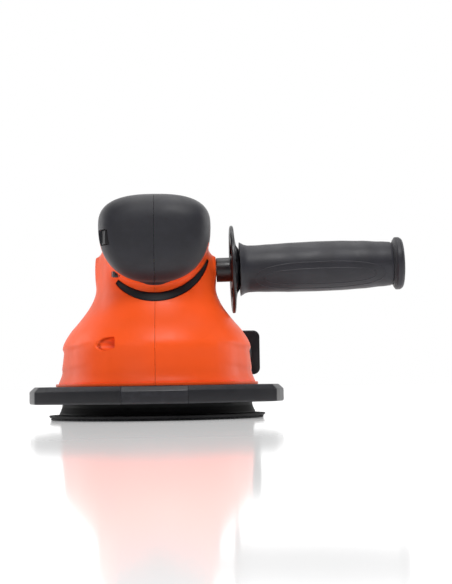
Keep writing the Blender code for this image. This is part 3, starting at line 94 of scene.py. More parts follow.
# Head and rear handle: place along Y, half width, height of the widest line, rise above it, drop below it
HEAD = (
    (-60.2, 3.0, 127.5, 2.0, 3.0), (-60.0, 13.0, 127.8, 7.5, 13.0), (-58.6, 22.8, 128.3, 12.2, 22.2),
    (-55.5, 30.5, 129.3, 16.0, 30.5), (-51.0, 35.2, 130.3, 18.6, 36.0), (-45.0, 37.4, 131.0, 20.2, 38.6),
    (-32.0, 38.3, 131.7, 21.8, 39.6), (-14.0, 38.4, 132.0, 22.6, 39.4), (4.0, 37.8, 132.0, 22.9, 38.6),
    (22.0, 35.4, 131.5, 22.2, 34.5), (36.0, 31.0, 130.0, 21.0, 29.5), (52.0, 25.5, 127.2, 19.4, 25.0),
    (70.0, 22.0, 123.3, 18.4, 21.4), (102.0, 22.0, 116.5, 18.5, 20.0), (130.0, 22.4, 111.5, 18.4, 19.5),
    (144.0, 20.8, 109.5, 17.0, 18.0), (149.0, 17.5, 109.0, 14.0, 15.0), (149.9, 13.0, 109.0, 10.0, 11.0),
)
UPPER_POWER, LOWER_POWER = 2.6, 2.35
SEAM_HALF = 0.1
# Scoops in each flank of the dome: height of the upper edge, its rise to the ends, foot, share of the depth
SCOOPS = ((48.6, 4.5, 36.0, 1.0), (34.5, 5.0, 25.6, 0.6))
SCOOP_REACH = 50.0
POCKET_R = 4.6
NOSE_BACK, NOSE_FLOOR = -42.0, 88.0
GRIP_EDGE = ((-42.0, 119.0), (36.0, 119.0), (58.0, 106.0), (136.0, 100.0))
STRIP_WIDTH, STRIP_DROP, STRIP_MIDDLE = 40.5, 45.5, 131.0
STRIP_FROM, STRIP_TO = -38.0, 62.0
COVER_WALL = 2.0
COVERS_ABOVE = 85.0  # the covers' parting lines all lie above this height
# Flange at the foot of the shells: radius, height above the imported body's foot
FLANGE = ((64.4, -0.24), (70.4, -0.24), (70.4, 1.6), (68.2, 1.7), (67.8, 3.2), (66.4, 3.2))
FLANGE_HALF_SEAM = 0.12
SKIN_FOOT = 1.8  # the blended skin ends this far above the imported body's foot
HANDLE_BOSS_R, HANDLE_BOSS_FROM = 10.0, 28.0
HANDLE_BORE_R, HANDLE_RECESS_R, HANDLE_BORE_FROM = 6.5, 7.2, 20.0
# Fairing round the dust duct: place along Y, radius
FAIRING = ((-6.0, 6.0), (0.0, 11.5), (8.0, 15.0), (18.0, 16.6), (52.0, 16.8))
VENTS, VENT_FOOT, VENT_PITCH, VENT_HALF_WIDE, VENT_HIGH = 5, 78.0, 5.5, 15.0, 2.4
DUCT_HOLE_R, GLAND_HOLE_R = 13.0, 6.8
DIAL_SLOT_HALF, DIAL_SLOT_BELOW, DIAL_SLOT_ABOVE = 8.4, 0.9, 5.9
# Guard: half length of the side facet, corner between the slanted facets, half length of the front facet
GUARD_SIDE, GUARD_CORNER, GUARD_FRONT = 20.0, (80.6, 50.0), 21.7
GUARD_WALL, GUARD_ROOF, GUARD_OPENING_R = 3.2, 3.3, 54.0
# Holes through the pad: distance from its centre, count, first turn in degrees, radius
PAD_HOLES = ((40.0, 6, 30.0, 5.0), (14.0, 3, 45.0, 3.8))
# Side handle, along its axis from the boss: disc, start of the sleeve, length of the sleeve
HANDLE_DISC, SLEEVE_FROM, SLEEVE_LENGTH = 10.3, 16.5, 107.5
# Sleeve: share of its length, radius
SLEEVE = ((0.0, 19.6), (0.012, 18.3), (0.03, 17.1), (0.055, 16.5), (0.1, 16.4), (0.2, 16.8), (0.35, 17.35),
          (0.5, 17.6), (0.65, 17.5), (0.8, 16.9), (0.93, 15.9), (1.0, 15.4))
SLEEVE_BORE_R, HANDLE_STUD_HOLE_R = 12.0, 4.3
WINDOWS, WINDOW_HALF_TURN, WINDOW_OUTER_R, WINDOW_INNER_R = 8, 14, 25.6, 17.6
# Raised panels on the sleeve: turn of their middle, then half length and half turn of the outer line
GRIP_PANEL, PANEL_HALF_LONG, PANEL_HALF_TURN, PANEL_MIDDLE = 151.0, 45.0, 35.0, 0.52
SPIGOT_R, SPIGOT_BORE_R, COLLAR_R, COLLAR_WIDE = 14.0, 12.0, 19.5, 4.0
BOX_FLOOR, BOX_WALL, BOX_CORNER = 30.0, 2.0, 5.0
DOOR_HALF_THICK, HINGE_R, HINGE_PIN_R, HINGE_EAR_X = 1.3, 2.6, 1.3, 17.0
GLAND_FLANGE = 150.3

# In metres and degrees
CAMERA_AWAY, CAMERA_ASIDE, CAMERA_UP = 1.0, 0.0490, 0.0238
CAMERA_YAW, CAMERA_PITCH, CAMERA_ROLL = radians(1.6), radians(3.65), radians(-0.9)
CAMERA_LENS, CAMERA_SENSOR = 87.97, 36.0
# Name, place, aim, size in metres, power in watts
LIGHTS = (
    ("key", (0.2, -0.8, 1.2), (0, 0, 0.08), (0.8, 0.5), 13.0),
    ("left rim", (-0.8, 0.3, 0.3), (0, 0, 0.08), (0.35, 0.8), 3.0),
    ("right rim", (0.9, 0.3, 0.3), (0, 0, 0.08), (0.35, 0.8), 3.0),
    ("front", (-0.6, -1.3, 0.7), (0, 0, 0.05), (0.5, 0.5), 2.2),
    ("top", (0.05, 0.2, 1.2), (0.05, 0, 0.05), (0.8, 0.8), 5.0),
)


# --- properties ---------------------------------------------------------------------------------


class SanderSizes(bpy.types.PropertyGroup):
    """Sizes of the surface detail, in metres."""

    voxel: bpy.props.FloatProperty(
        name="Body voxel", description="Grain of the mesh that blends head, neck and dome",
        default=0.0015, min=0.0008, unit="LENGTH")
    shell_wall: bpy.props.FloatProperty(
        name="Shell wall", description="Thickness of the moulded body shells", default=0.0022, unit="LENGTH")
    seam_bevel: bpy.props.FloatProperty(
        name="Parting edge", description="Rounding of each shell's edge along a parting line",
        default=0.0002, unit="LENGTH")
    strip_width: bpy.props.FloatProperty(
        name="Neck strip width", description="Widest part of the crescent strip under the nose",
        default=0.0062, unit="LENGTH")
    guard_edge: bpy.props.FloatProperty(
        name="Guard edge", description="Rounding of the guard's long edges", default=0.0009, unit="LENGTH")
    grip_line: bpy.props.FloatProperty(
        name="Grip line", description="Thickness of the raised lines on the side handle",
        default=0.00034, unit="LENGTH")
    scoop_depth: bpy.props.FloatProperty(
        name="Scoop depth", description="Depth of the shallow scoop on each side of the dome",
        default=0.0014, unit="LENGTH")


class SanderColours(bpy.types.PropertyGroup):
    """Base colours of the finishes, linear."""

    shell: bpy.props.FloatVectorProperty(
        name="Shell", description="Moulded body", subtype="COLOR", size=3, default=(0.95, 0.1, 0.014))
    cover: bpy.props.FloatVectorProperty(
        name="Soft cover", description="Nose cap and handle skin", subtype="COLOR", size=3,
        default=(0.0125, 0.0125, 0.0175))
    guard: bpy.props.FloatVectorProperty(
        name="Guard", description="Faceted guard", subtype="COLOR", size=3, default=(0.0085, 0.0085, 0.0115))
    grip: bpy.props.FloatVectorProperty(
        name="Grip", description="Side handle sleeve", subtype="COLOR", size=3,
        default=(0.014, 0.0138, 0.0195))
    hard: bpy.props.FloatVectorProperty(
        name="Hard black", description="Flange, dust unit and controls", subtype="COLOR", size=3,
        default=(0.009, 0.0085, 0.011))
    skirt: bpy.props.FloatVectorProperty(
        name="Skirt rubber", description="Brake skirt and neck strip", subtype="COLOR", size=3,
        default=(0.005, 0.005, 0.006))
    pad: bpy.props.FloatVectorProperty(
        name="Pad", description="Pad foam and hook pile", subtype="COLOR", size=3,
        default=(0.006, 0.006, 0.0075))


# --- finishes -----------------------------------------------------------------------------------


def link(tree, source, target):
    tree.links.new(source, target)


def coordinates(tree, stretch=(1.0, 1.0, 1.0)):
    """Object coordinates, stretched along each axis so that a grain can run one way."""
    place = tree.nodes.new("ShaderNodeTexCoord")
    mapping = tree.nodes.new("ShaderNodeMapping")
    mapping.inputs["Scale"].default_value = stretch
    link(tree, place.outputs["Object"], mapping.inputs["Vector"])
    return mapping.outputs["Vector"]


def noise(tree, where, scale, detail=3.0, roughness=0.5):
    node = tree.nodes.new("ShaderNodeTexNoise")
    node.inputs["Scale"].default_value = scale
    node.inputs["Detail"].default_value = detail
    node.inputs["Roughness"].default_value = roughness
    link(tree, where, node.inputs["Vector"])
    return node.outputs["Fac"]


def ramp(tree, factor, low, high, from_value, to_value):
    """The factor, taken from the span low to high to the span from_value to to_value."""
    node = tree.nodes.new("ShaderNodeMapRange")
    node.inputs["From Min"].default_value = low
    node.inputs["From Max"].default_value = high
    node.inputs["To Min"].default_value = from_value
    node.inputs["To Max"].default_value = to_value
    link(tree, factor, node.inputs["Value"])
    return node.outputs["Result"]


def blend_colours(tree, factor, first, second):
    node = tree.nodes.new("ShaderNodeMix")
    node.data_type = "RGBA"
    link(tree, factor, node.inputs["Factor"])
    for socket, value in ((node.inputs[6], first), (node.inputs[7], second)):
        if isinstance(value, bpy.types.NodeSocket):
            link(tree, value, socket)
        else:
            socket.default_value = (*value, 1.0)
    return node.outputs[2]


def bump(tree, height, distance, strength, normal=None):
    node = tree.nodes.new("ShaderNodeBump")
    node.inputs["Strength"].default_value = strength
    node.inputs["Distance"].default_value = distance
    link(tree, height, node.inputs["Height"])
    if normal is not None:
        link(tree, normal, node.inputs["Normal"])
    return node.outputs["Normal"]


def tint(colour, factor):
    return tuple(min(1.0, channel * factor) for channel in colour)


def edge_wear_and_highlight(tree, low, high):
    """Near 1 on outward edges, where handling polishes or scuffs the surface and where light catches them;
    the lighter colour it drives is both wear and painted edge highlight.
    """
    geometry = tree.nodes.new("ShaderNodeNewGeometry")
    return ramp(tree, geometry.outputs["Pointiness"], low, high, 0.0, 1.0)


def new_material(name, roughness, metallic=0.0, specular=0.5, coat=0.0, coat_roughness=0.2, sheen=0.0):
    material = bpy.data.materials.new(name)
    material.use_nodes = True
    tree = material.node_tree
    shader = tree.nodes["Principled BSDF"]
    shader.inputs["Roughness"].default_value = roughness
    shader.inputs["Metallic"].default_value = metallic
    shader.inputs["Specular IOR Level"].default_value = specular
    shader.inputs["Coat Weight"].default_value = coat
    shader.inputs["Coat Roughness"].default_value = coat_roughness
    shader.inputs["Sheen Weight"].default_value = sheen
    return material, tree, shader


def mapped(material, shader, colour, roughness, normal):
    """The material, with the three maps that every finish has."""
    for source, target in ((colour, "Base Color"), (roughness, "Roughness"), (normal, "Normal")):
        link(material.node_tree, source, shader.inputs[target])
    return material


def moulded_plastic(name, colour, gloss, grain, grain_depth, edge_tint=1.5, mottle=0.08, **surface):
    """A moulded plastic: fine spark-eroded grain, slow colour drift, scuffs, and lighter edges that are both
    wear and painted edge highlight.
    """
    material, tree, shader = new_material(name, gloss, **surface)
    where = coordinates(tree)
    drift = ramp(tree, noise(tree, where, 28.0, 2.0), 0.3, 0.7, 0.0, 1.0)
    base = blend_colours(tree, drift, tint(colour, 1 - mottle), tint(colour, 1 + mottle))
    # Lighter outward edges, broken up by noise: both wear and painted edge highlight.
    broken = tree.nodes.new("ShaderNodeMath")
    broken.operation = "MULTIPLY"
    link(tree, edge_wear_and_highlight(tree, 0.52, 0.62), broken.inputs[0])
    link(tree, ramp(tree, noise(tree, where, 260.0, 4.0), 0.42, 0.6, 0.15, 0.8), broken.inputs[1])
    base = blend_colours(tree, broken.outputs[0], base, tint(colour, edge_tint))
    scuffs = ramp(tree, noise(tree, coordinates(tree, (1.0, 1.0, 0.25)), 190.0, 5.0, 0.7), 0.35, 0.75,
                  gloss - 0.05, gloss + 0.09)
    fine = bump(tree, noise(tree, where, grain, 2.0, 0.6), grain_depth, 0.35)
    wave = bump(tree, noise(tree, where, 55.0, 1.0), 0.00012, 0.12, fine)
    return mapped(material, shader, base, scuffs, wave)


def rubber(name, colour, gloss, cell, depth, sheen=0.15):
    """A moulded elastomer: a leathery cell grain that catches a soft sheen, and dusty hollows."""
    material, tree, shader = new_material(name, gloss, sheen=sheen, specular=0.4)
    where = coordinates(tree)
    cells = tree.nodes.new("ShaderNodeTexVoronoi")
    cells.inputs["Scale"].default_value = cell
    link(tree, where, cells.inputs["Vector"])
    dust = ramp(tree, noise(tree, where, 85.0, 4.0, 0.6), 0.4, 0.72, 0.0, 1.0)
    base = blend_colours(tree, dust, tint(colour, 0.9), tint(colour, 1.28))
    # Lighter outward edges: both wear and painted edge highlight.
    edges = ramp(tree, edge_wear_and_highlight(tree, 0.52, 0.64), 0.0, 1.0, 0.0, 0.6)
    base = blend_colours(tree, edges, base, tint(colour, 1.9))
    wear = ramp(tree, noise(tree, where, 60.0, 3.0), 0.3, 0.7, gloss - 0.06, gloss + 0.08)
    grain = bump(tree, cells.outputs["Distance"], depth, 0.3)
    grain = bump(tree, noise(tree, where, cell * 2.2, 2.0), depth * 0.6, 0.25, grain)
    return mapped(material, shader, base, wear, grain)


def hook_pile(name, colour):
    """Rows of upright hooks: streaks that run down the edge, and a bristly rough surface."""
    material, tree, shader = new_material(name, 0.82, sheen=0.4, specular=0.3)
    streaks = noise(tree, coordinates(tree, (1.0, 1.0, 0.04)), 900.0, 3.0, 0.7)
    lit = ramp(tree, streaks, 0.35, 0.68, 0.0, 1.0)
    base = blend_colours(tree, lit, tint(colour, 0.55), tint(colour, 3.4))
    dots = tree.nodes.new("ShaderNodeTexVoronoi")
    dots.inputs["Scale"].default_value = 620.0
    link(tree, coordinates(tree), dots.inputs["Vector"])
    rows = bump(tree, dots.outputs["Distance"], 0.0006, 0.7)
    return mapped(material, shader, base, ramp(tree, streaks, 0.3, 0.7, 0.68, 0.95),
                  bump(tree, streaks, 0.0005, 0.7, rows))


def turned_metal(name, colour, gloss, grain=(1.0, 1.0, 14.0)):
    """Machined metal: fine rings left by the tool, and oil-dark patches."""
    material, tree, shader = new_material(name, gloss, metallic=1.0)
    lines = noise(tree, coordinates(tree, grain), 420.0, 3.0, 0.6)
    patches = ramp(tree, noise(tree, coordinates(tree), 75.0, 4.0), 0.35, 0.7, 0.0, 1.0)
    base = blend_colours(tree, patches, tint(colour, 0.82), tint(colour, 1.06))
    return mapped(material, shader, base, ramp(tree, lines, 0.3, 0.7, gloss - 0.08, gloss + 0.12),
                  bump(tree, lines, 0.00006, 0.35))


def wound_wire(name, colour):
    """Enamelled wire: closely laid turns, with the enamel's uneven gloss."""
    material, tree, shader = new_material(name, 0.32, metallic=0.9, coat=0.5, coat_roughness=0.15)
    turns = tree.nodes.new("ShaderNodeTexWave")
    turns.bands_direction = "DIAGONAL"
    turns.inputs["Scale"].default_value = 420.0
    turns.inputs["Distortion"].default_value = 1.5
    link(tree, coordinates(tree), turns.inputs["Vector"])
    wires = turns.outputs["Fac"]
    base = blend_colours(tree, wires, tint(colour, 0.45), tint(colour, 1.1))
    return mapped(material, shader, base, ramp(tree, wires, 0.0, 1.0, 0.5, 0.25),
                  bump(tree, wires, 0.0002, 0.8))


def pressed_sheets(name, colour):
    """A stack of thin steel sheets, seen as fine level lines."""
    material, tree, shader = new_material(name, 0.45, metallic=0.8)
    sheets = noise(tree, coordinates(tree, (0.02, 0.02, 1.0)), 1900.0, 1.0)
    base = blend_colours(tree, sheets, tint(colour, 0.5), tint(colour, 1.4))
    return mapped(material, shader, base, ramp(tree, sheets, 0.3, 0.7, 0.35, 0.6),
                  bump(tree, sheets, 0.0001, 0.6))


def pleated_paper(name, colour):
    """Filter paper in upright folds, with a fibrous grain."""
    material, tree, shader = new_material(name, 0.9, specular=0.2)
    pleats = tree.nodes.new("ShaderNodeTexWave")
    pleats.bands_direction = "X"
    pleats.inputs["Scale"].default_value = 90.0
    link(tree, coordinates(tree), pleats.inputs["Vector"])
    fibres = noise(tree, coordinates(tree, (1.0, 1.0, 0.2)), 700.0, 4.0)
    base = blend_colours(tree, fibres, tint(colour, 0.8), tint(colour, 1.1))
    folds = bump(tree, pleats.outputs["Fac"], 0.0012, 0.9)
    return mapped(material, shader, base, ramp(tree, fibres, 0.3, 0.7, 0.8, 0.97),
                  bump(tree, fibres, 0.0001, 0.4, folds))


def circuit_board(name, colour):
    """Lacquered board with paler tracks between its fields."""
    material, tree, shader = new_material(name, 0.4, coat=0.6, coat_roughness=0.2)
    tracks = tree.nodes.new("ShaderNodeTexBrick")
    tracks.inputs["Scale"].default_value = 130.0
    tracks.inputs["Mortar Size"].default_value = 0.06
    for socket, factor in (("Color1", 0.8), ("Color2", 1.2), ("Mortar", 2.2)):
        tracks.inputs[socket].default_value = (*tint(colour, factor), 1.0)
    where = coordinates(tree)
    link(tree, where, tracks.inputs["Vector"])
    gloss = ramp(tree, noise(tree, where, 300.0, 3.0), 0.3, 0.7, 0.32, 0.5)
    return mapped(material, shader, tracks.outputs["Color"], gloss,
                  bump(tree, tracks.outputs["Fac"], 0.0001, 0.5))


def finish(name):
    """The named finish, made the first time that it is asked for."""
    found = bpy.data.materials.get(name)
    if found:
        return found
    colours = bpy.context.scene.sander_colours
    shell, cover, guard, grip, hard, skirt, pad = (
        tuple(getattr(colours, key)) for key in ("shell", "cover", "guard", "grip", "hard", "skirt", "pad"))
    maker, *values, options = {
        "shell orange": (moulded_plastic, shell, 0.4, 1500.0, 0.00003,
                         {"edge_tint": 1.08, "mottle": 0.03, "specular": 0.22}),
        "soft cover": (rubber, cover, 0.52, 1500.0, 0.00007, {"sheen": 0.12}),
        "grip rubber": (rubber, grip, 0.48, 1300.0, 0.00008, {"sheen": 0.15}),
        "guard plastic": (moulded_plastic, guard, 0.42, 1300.0, 0.00006, {"edge_tint": 2.0, "mottle": 0.1}),
        "hard black": (moulded_plastic, hard, 0.34, 1500.0, 0.00004, {"edge_tint": 2.2, "mottle": 0.1}),
        # The rocker's black, darkened further to paint the shade of the slot in the nose cap that it sits in.
        "control black": (moulded_plastic, tint(hard, 0.6), 0.5, 1500.0, 0.00004,
                          {"edge_tint": 1.6, "specular": 0.3}),
        "skirt rubber": (rubber, skirt, 0.5, 1100.0, 0.00007, {"sheen": 0.05}),
        "strip rubber": (rubber, tint(cover, 0.45), 0.6, 1600.0, 0.00003, {"sheen": 0.0}),
        "pad foam": (rubber, pad, 0.62, 700.0, 0.00012, {"sheen": 0.1}),
        "hook pile": (hook_pile, pad, {}),
        "steel": (turned_metal, (0.56, 0.56, 0.58), 0.28, {}),
        "cast aluminium": (turned_metal, (0.66, 0.66, 0.68), 0.42, (1.0, 1.0, 1.0), {}),
        "brass": (turned_metal, (0.72, 0.52, 0.2), 0.3, {}),
        "copper bars": (turned_metal, (0.7, 0.3, 0.14), 0.25, (9.0, 9.0, 0.4), {}),
        "copper wire": (wound_wire, (0.66, 0.26, 0.1), {}),
        "steel sheets": (pressed_sheets, (0.3, 0.3, 0.32), {}),
        "carbon": (moulded_plastic, (0.03, 0.03, 0.032), 0.5, 900.0, 0.00008, {"edge_tint": 1.6}),
        "circuit board": (circuit_board, (0.02, 0.16, 0.06), {}),
        "filter paper": (pleated_paper, (0.72, 0.69, 0.6), {}),
    }[name]
    return maker(name, *values, **options)


# --- mesh tools ---------------------------------------------------------------------------------


def new_object(name, data):
    made = bpy.data.objects.new(name, data)
    bpy.context.scene.collection.objects.link(made)
    return made


def from_builder(name, builder):
    """An object from a bmesh in metres, as it stands."""
    mesh = bpy.data.meshes.new(name)
    builder.to_mesh(mesh)
    builder.free()
    return new_object(name, mesh)


def new_piece(name, builder):
    """An object from a bmesh in metres, its faces turned outwards."""
    bmesh.ops.remove_doubles(builder, verts=builder.verts, dist=1e-7)
    bmesh.ops.recalc_face_normals(builder, faces=builder.faces)
    return from_builder(name, builder)


def loft(name, rings, close=True):
    """A solid through rings of equally many points, in mm."""
    builder = bmesh.new()
    loops = [[builder.verts.new(Vector(point) * MM) for point in ring] for ring in rings]
    count = len(loops[0])
    for lower, upper in zip(loops, loops[1:]):
        for i in range(count):
            j = (i + 1) % count
            builder.faces.new((lower[i], lower[j], upper[j], upper[i]))
    if close:
        builder.faces.new(loops[0])
        builder.faces.new(loops[-1])
    return new_piece(name, builder)


def turned(name, profile, sides=128, centre=(0.0, 0.0), radius_at=None):
    """A solid turned about a line along Z, in mm. radius_at may change the radius with height and angle."""
    builder = bmesh.new()
    columns = []
    for i in range(sides):
        angle = 2 * pi * i / sides
        column = []
        for r, z in profile:
            reach = radius_at(r, z, angle) if radius_at and r else r
            column.append(builder.verts.new(
                Vector((centre[0] + reach * cos(angle), centre[1] + reach * sin(angle), z)) * MM))
        columns.append(column)
    count = len(profile)
    for i in range(sides):
        here, there = columns[i], columns[(i + 1) % sides]
        for k in range(count):
            m = (k + 1) % count
            if profile[k][0] == 0 and profile[m][0] == 0:
                continue
            corners = [here[k], there[k], there[m], here[m]]
            if profile[k][0] == 0:
                corners.remove(there[k])
            if profile[m][0] == 0:
                corners.remove(there[m])
            builder.faces.new(corners)
    return new_piece(name, builder)


def rounded(profile, radius, steps=4):
    """A closed profile with each corner replaced by a short arc. Points on the axis keep their corner."""
    points = []
    count = len(profile)
    for i, corner in enumerate(profile):
        here = Vector(corner)
        to_last = Vector(profile[i - 1]) - here
        to_next = Vector(profile[(i + 1) % count]) - here
        if corner[0] == 0 or to_last.length < 1e-6 or to_next.length < 1e-6:
            points.append(corner)
            continue
        reach = min(radius, to_last.length * 0.45, to_next.length * 0.45)
        start, end = here + to_last.normalized() * reach, here + to_next.normalized() * reach
        for step in range(steps + 1):
            t = step / steps
            point = start * (1 - t) ** 2 + here * 2 * t * (1 - t) + end * t ** 2
            points.append((point.x, point.y))
    return points


def prism(name, outline, start, end, along="Z"):
    """An outline pulled along an axis, in mm."""
    index = {"Z": 2, "Y": 1, "X": 0}[along]
    return loft(name, [[(*point[:index], level, *point[index:]) for point in outline]
                       for level in (start, end)])


def block(name, low, high):
    """A box between two corners, in mm. Its edges are for a bevel or for cutting."""
    corners = ((low[0], low[1]), (high[0], low[1]), (high[0], high[1]), (low[0], high[1]))
    return prism(name, corners, low[2], high[2])


def circle(radius, sides=32, centre=(0.0, 0.0)):
    return [(centre[0] + radius * cos(2 * pi * i / sides), centre[1] + radius * sin(2 * pi * i / sides))
            for i in range(sides)]


def rounded_rectangle(low, high, radius, steps=6):
    points = []
    corners = ((high[0] - radius, high[1] - radius, 0), (low[0] + radius, high[1] - radius, 1),
               (low[0] + radius, low[1] + radius, 2), (high[0] - radius, low[1] + radius, 3))
    for x, y, quarter in corners:
        for i in range(steps + 1):
            angle = (quarter + i / steps) * pi / 2
            points.append((x + radius * cos(angle), y + radius * sin(angle)))
    return points


def apply_modifiers(piece):
    bpy.context.view_layer.update()
    shape = bpy.data.meshes.new_from_object(piece.evaluated_get(bpy.context.evaluated_depsgraph_get()))
    piece.modifiers.clear()
    piece.data = shape
    return piece


def modify(piece, kind, **settings):
    """Adds a modifier with these settings and applies it."""
    modifier = piece.modifiers.new(kind.title(), kind)
    for key, value in settings.items():
        setattr(modifier, key, value)
    return apply_modifiers(piece)


def bevel(piece, width, segments=3, angle=35.0):
    return modify(piece, "BEVEL", width=width, segments=segments, limit_method="ANGLE",
                  angle_limit=radians(angle), harden_normals=False)


def combine(piece, operation, *tools):
    for tool in tools:
        modify(piece, "BOOLEAN", operation=operation, solver="EXACT", object=tool)
        bpy.data.objects.remove(tool, do_unlink=True)
    return piece


def cut(piece, *tools):
    return combine(piece, "DIFFERENCE", *tools)


def merge(name, pieces):
    """Several meshes in one object."""
    builder = bmesh.new()
    for piece in pieces:
        builder.from_mesh(piece.data)
        bpy.data.objects.remove(piece, do_unlink=True)
    return from_builder(name, builder)


def put(piece, at, turn, axis):
    """Turns a piece about an axis through the origin, then moves it, in mm."""
    piece.data.transform(Matrix.Translation(Vector(at) * MM) @ Matrix.Rotation(turn, 4, axis))
    return piece


def dress(piece, name, finish_name, body, slot, *nodes, smooth_angle=32.0):
    """Names a piece, gives it its finish and its body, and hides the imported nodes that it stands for."""
    piece.name = name
    piece.data.name = name
    piece.data.materials.clear()
    piece.data.materials.append(finish(finish_name))
    piece.data.shade_smooth()
    piece.data.set_sharp_from_angle(angle=radians(smooth_angle))
    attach(piece, body)
    if nodes:
        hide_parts(*nodes)
    return piece


def through(stations, count):
    """Smooth stations along a Catmull-Rom curve through the given ones."""
    result = []
    spans = len(stations) - 1
    for i in range(spans):
        p0 = stations[max(i - 1, 0)]
        p1, p2 = stations[i], stations[i + 1]
        p3 = stations[min(i + 2, spans)]
        steps = count if i < spans - 1 else count + 1
        for step in range(steps):
            t = step / count
            result.append(tuple(
                0.5 * (2 * b + (c - a) * t + (2 * a - 5 * b + 4 * c - d) * t * t
                       + (3 * b - a - 3 * c + d) * t ** 3)
                for a, b, c, d in zip(p0, p1, p2, p3)))
    return result


# --- body ---------------------------------------------------------------------------------------


def squared(value, power):
    """The value's size raised to a power, with its own sign."""
    return copysign(abs(value) ** power, value)


def egg(y, half_x, middle, rise, drop, points=96):
    """A ring of the head: a squarish oval whose upper and lower halves differ."""
    ring = []
    for i in range(points):
        angle = 2 * pi * i / points
        across, up = cos(angle), sin(angle)
        power, reach = (UPPER_POWER, rise) if up >= 0 else (LOWER_POWER, drop)
        ring.append((half_x * squared(across, 2 / power), y, middle + reach * squared(up, 2 / power)))
    return ring


def oval(x, y, z, points):
    """A level ring with half width x and half depth y."""
    angles = [2 * pi * i / points for i in range(points)]
    return [(x * cos(a), y * sin(a), z) for a in angles]


def neck_size(z):
    """Half width and half depth of the neck at a height in mm."""
    for low, high in zip(DOME, DOME[1:]):
        if low[0] <= z <= high[0]:
            t = (z - low[0]) / (high[0] - low[0])
            return low[1] + (high[1] - low[1]) * t, low[2] + (high[2] - low[2]) * t
    return DOME[-1][1:]


def smooth_body(sizes):
    """One closed skin: dome, neck, head, handle, bosses and duct fairing, blended where they meet."""
    dome = loft("dome", [oval(x, y, z, 128) for z, x, y in through(DOME, 4)])
    head = loft("head", [egg(*station) for station in through(HEAD, 5)])
    boss = circle(HANDLE_BOSS_R, 48, (0.0, HANDLE_Z))
    bosses = [prism("boss", boss, s * HANDLE_BOSS_FROM, s * HANDLE_FACE, "X") for s in (-1, 1)]
    fairing = loft("fairing", [[(x, y, z) for x, z in circle(r, 48, (DUCT.x, DUCT.z))] for y, r in FAIRING])
    body = merge("body", [dome, head, fairing, *bosses])
    modify(body, "REMESH", mode="VOXEL", voxel_size=sizes.voxel)
    modify(body, "SMOOTH", factor=0.5, iterations=7)
    sculpt_scoops(body, sizes.scoop_depth)
    return body


def sculpt_scoops(body, depth):
    """Shallow scoops on each flank of the dome, each with a crisp upper edge that fades towards its ends."""
    for vertex in body.data.vertices:
        x, y, z = vertex.co / MM
        reach = degrees(atan2(y, abs(x))) / SCOOP_REACH
        if abs(reach) >= 1 or hypot(x, y) < 50:
            continue
        push = 0.0
        for edge, rise, foot, share in SCOOPS:
            top = edge + rise * reach ** 2
            if foot < z < top:
                level = (z - foot) / (top - foot)
                push += share * level ** 1.3 * min(1.0, (top - z) / 2.4)
        inwards = -Vector((x, y, 0)).normalized()
        vertex.co += inwards * push * depth * (1 - reach ** 2) ** 0.6


def trim(builder, point, normal, faces=None):
    """Splits the mesh along a plane, in all faces or in the given ones."""
    faces = builder.faces[:] if faces is None else faces
    edges = {edge for face in faces for edge in face.edges}
    verts = {vert for face in faces for vert in face.verts}
    bmesh.ops.bisect_plane(builder, geom=[*verts, *edges, *faces], plane_co=Vector(point) * MM,
                           plane_no=Vector(normal), dist=1e-6)


def region_of(face):
    """Which moulded piece a face of the skin belongs to. The seam between the two sides belongs to none."""
    centre = face.calc_center_median() / MM
    side = "left" if centre.x < 0 else "right"
    if abs(centre.x) < SEAM_HALF * 0.99:
        return "seam", side
    if centre.y < NOSE_BACK and centre.z > NOSE_FLOOR:
        return "nose", side
    if NOSE_BACK < centre.y < GRIP_EDGE[-1][0]:
        for (y0, z0), (y1, z1) in zip(GRIP_EDGE, GRIP_EDGE[1:]):
            if y0 <= centre.y <= y1 and centre.z > z0 + (z1 - z0) * (centre.y - y0) / (y1 - y0):
                return "grip", side
    return "shell", side


def split_skin(body):
    """Cuts the skin along its parting lines and returns one open surface for each moulded piece."""
    builder = bmesh.new()
    builder.from_mesh(body.data)
    foot = BODY_FOOT + SKIN_FOOT
    bmesh.ops.bisect_plane(
        builder, geom=[*builder.verts, *builder.edges, *builder.faces], plane_co=Vector((0, 0, foot)) * MM,
        plane_no=Vector((0, 0, -1)), dist=1e-6, clear_outer=True)
    for x in (-SEAM_HALF, SEAM_HALF):
        trim(builder, (x, 0, 0), (1, 0, 0))
    high = [f for f in builder.faces if f.calc_center_median().z > NOSE_FLOOR * MM * 0.99]
    trim(builder, (0, NOSE_BACK, 0), (0, 1, 0), high)
    front = [f for f in builder.faces if f.calc_center_median().y < (NOSE_BACK + 4) * MM]
    trim(builder, (0, 0, NOSE_FLOOR), (0, 0, 1), front)
    for y, _ in GRIP_EDGE[1:]:
        high = [f for f in builder.faces if f.calc_center_median().z > COVERS_ABOVE * MM]
        trim(builder, (0, y, 0), (0, 1, 0), high)
    for (y0, z0), (y1, z1) in zip(GRIP_EDGE, GRIP_EDGE[1:]):
        span = [f for f in builder.faces if y0 * MM <= f.calc_center_median().y <= y1 * MM
                and f.calc_center_median().z > COVERS_ABOVE * MM]
        trim(builder, (0, y0, z0), (0, z0 - z1, y1 - y0), span)
    regions = {}
    for face in builder.faces:
        regions.setdefault(region_of(face), []).append(face.index)
    builder.to_mesh(body.data)
    builder.free()
    pieces = {}
    for key, indices in regions.items():
        if key[0] == "seam":
            continue
        keep = set(indices)
        part = bmesh.new()
        part.from_mesh(body.data)
        part.faces.ensure_lookup_table()
        bmesh.ops.delete(part, geom=[f for f in part.faces if f.index not in keep], context="FACES")
        pieces[key] = from_builder("_".join(key), part)
    bpy.data.objects.remove(body, do_unlink=True)
    return pieces


def thicken(piece, wall, edge):
    """Gives a surface its wall, inwards, and rounds its edges."""
    modify(piece, "SOLIDIFY", thickness=wall, offset=-1, use_even_offset=True, use_quality_normals=True)
    return bevel(piece, edge, segments=2, angle=55.0)


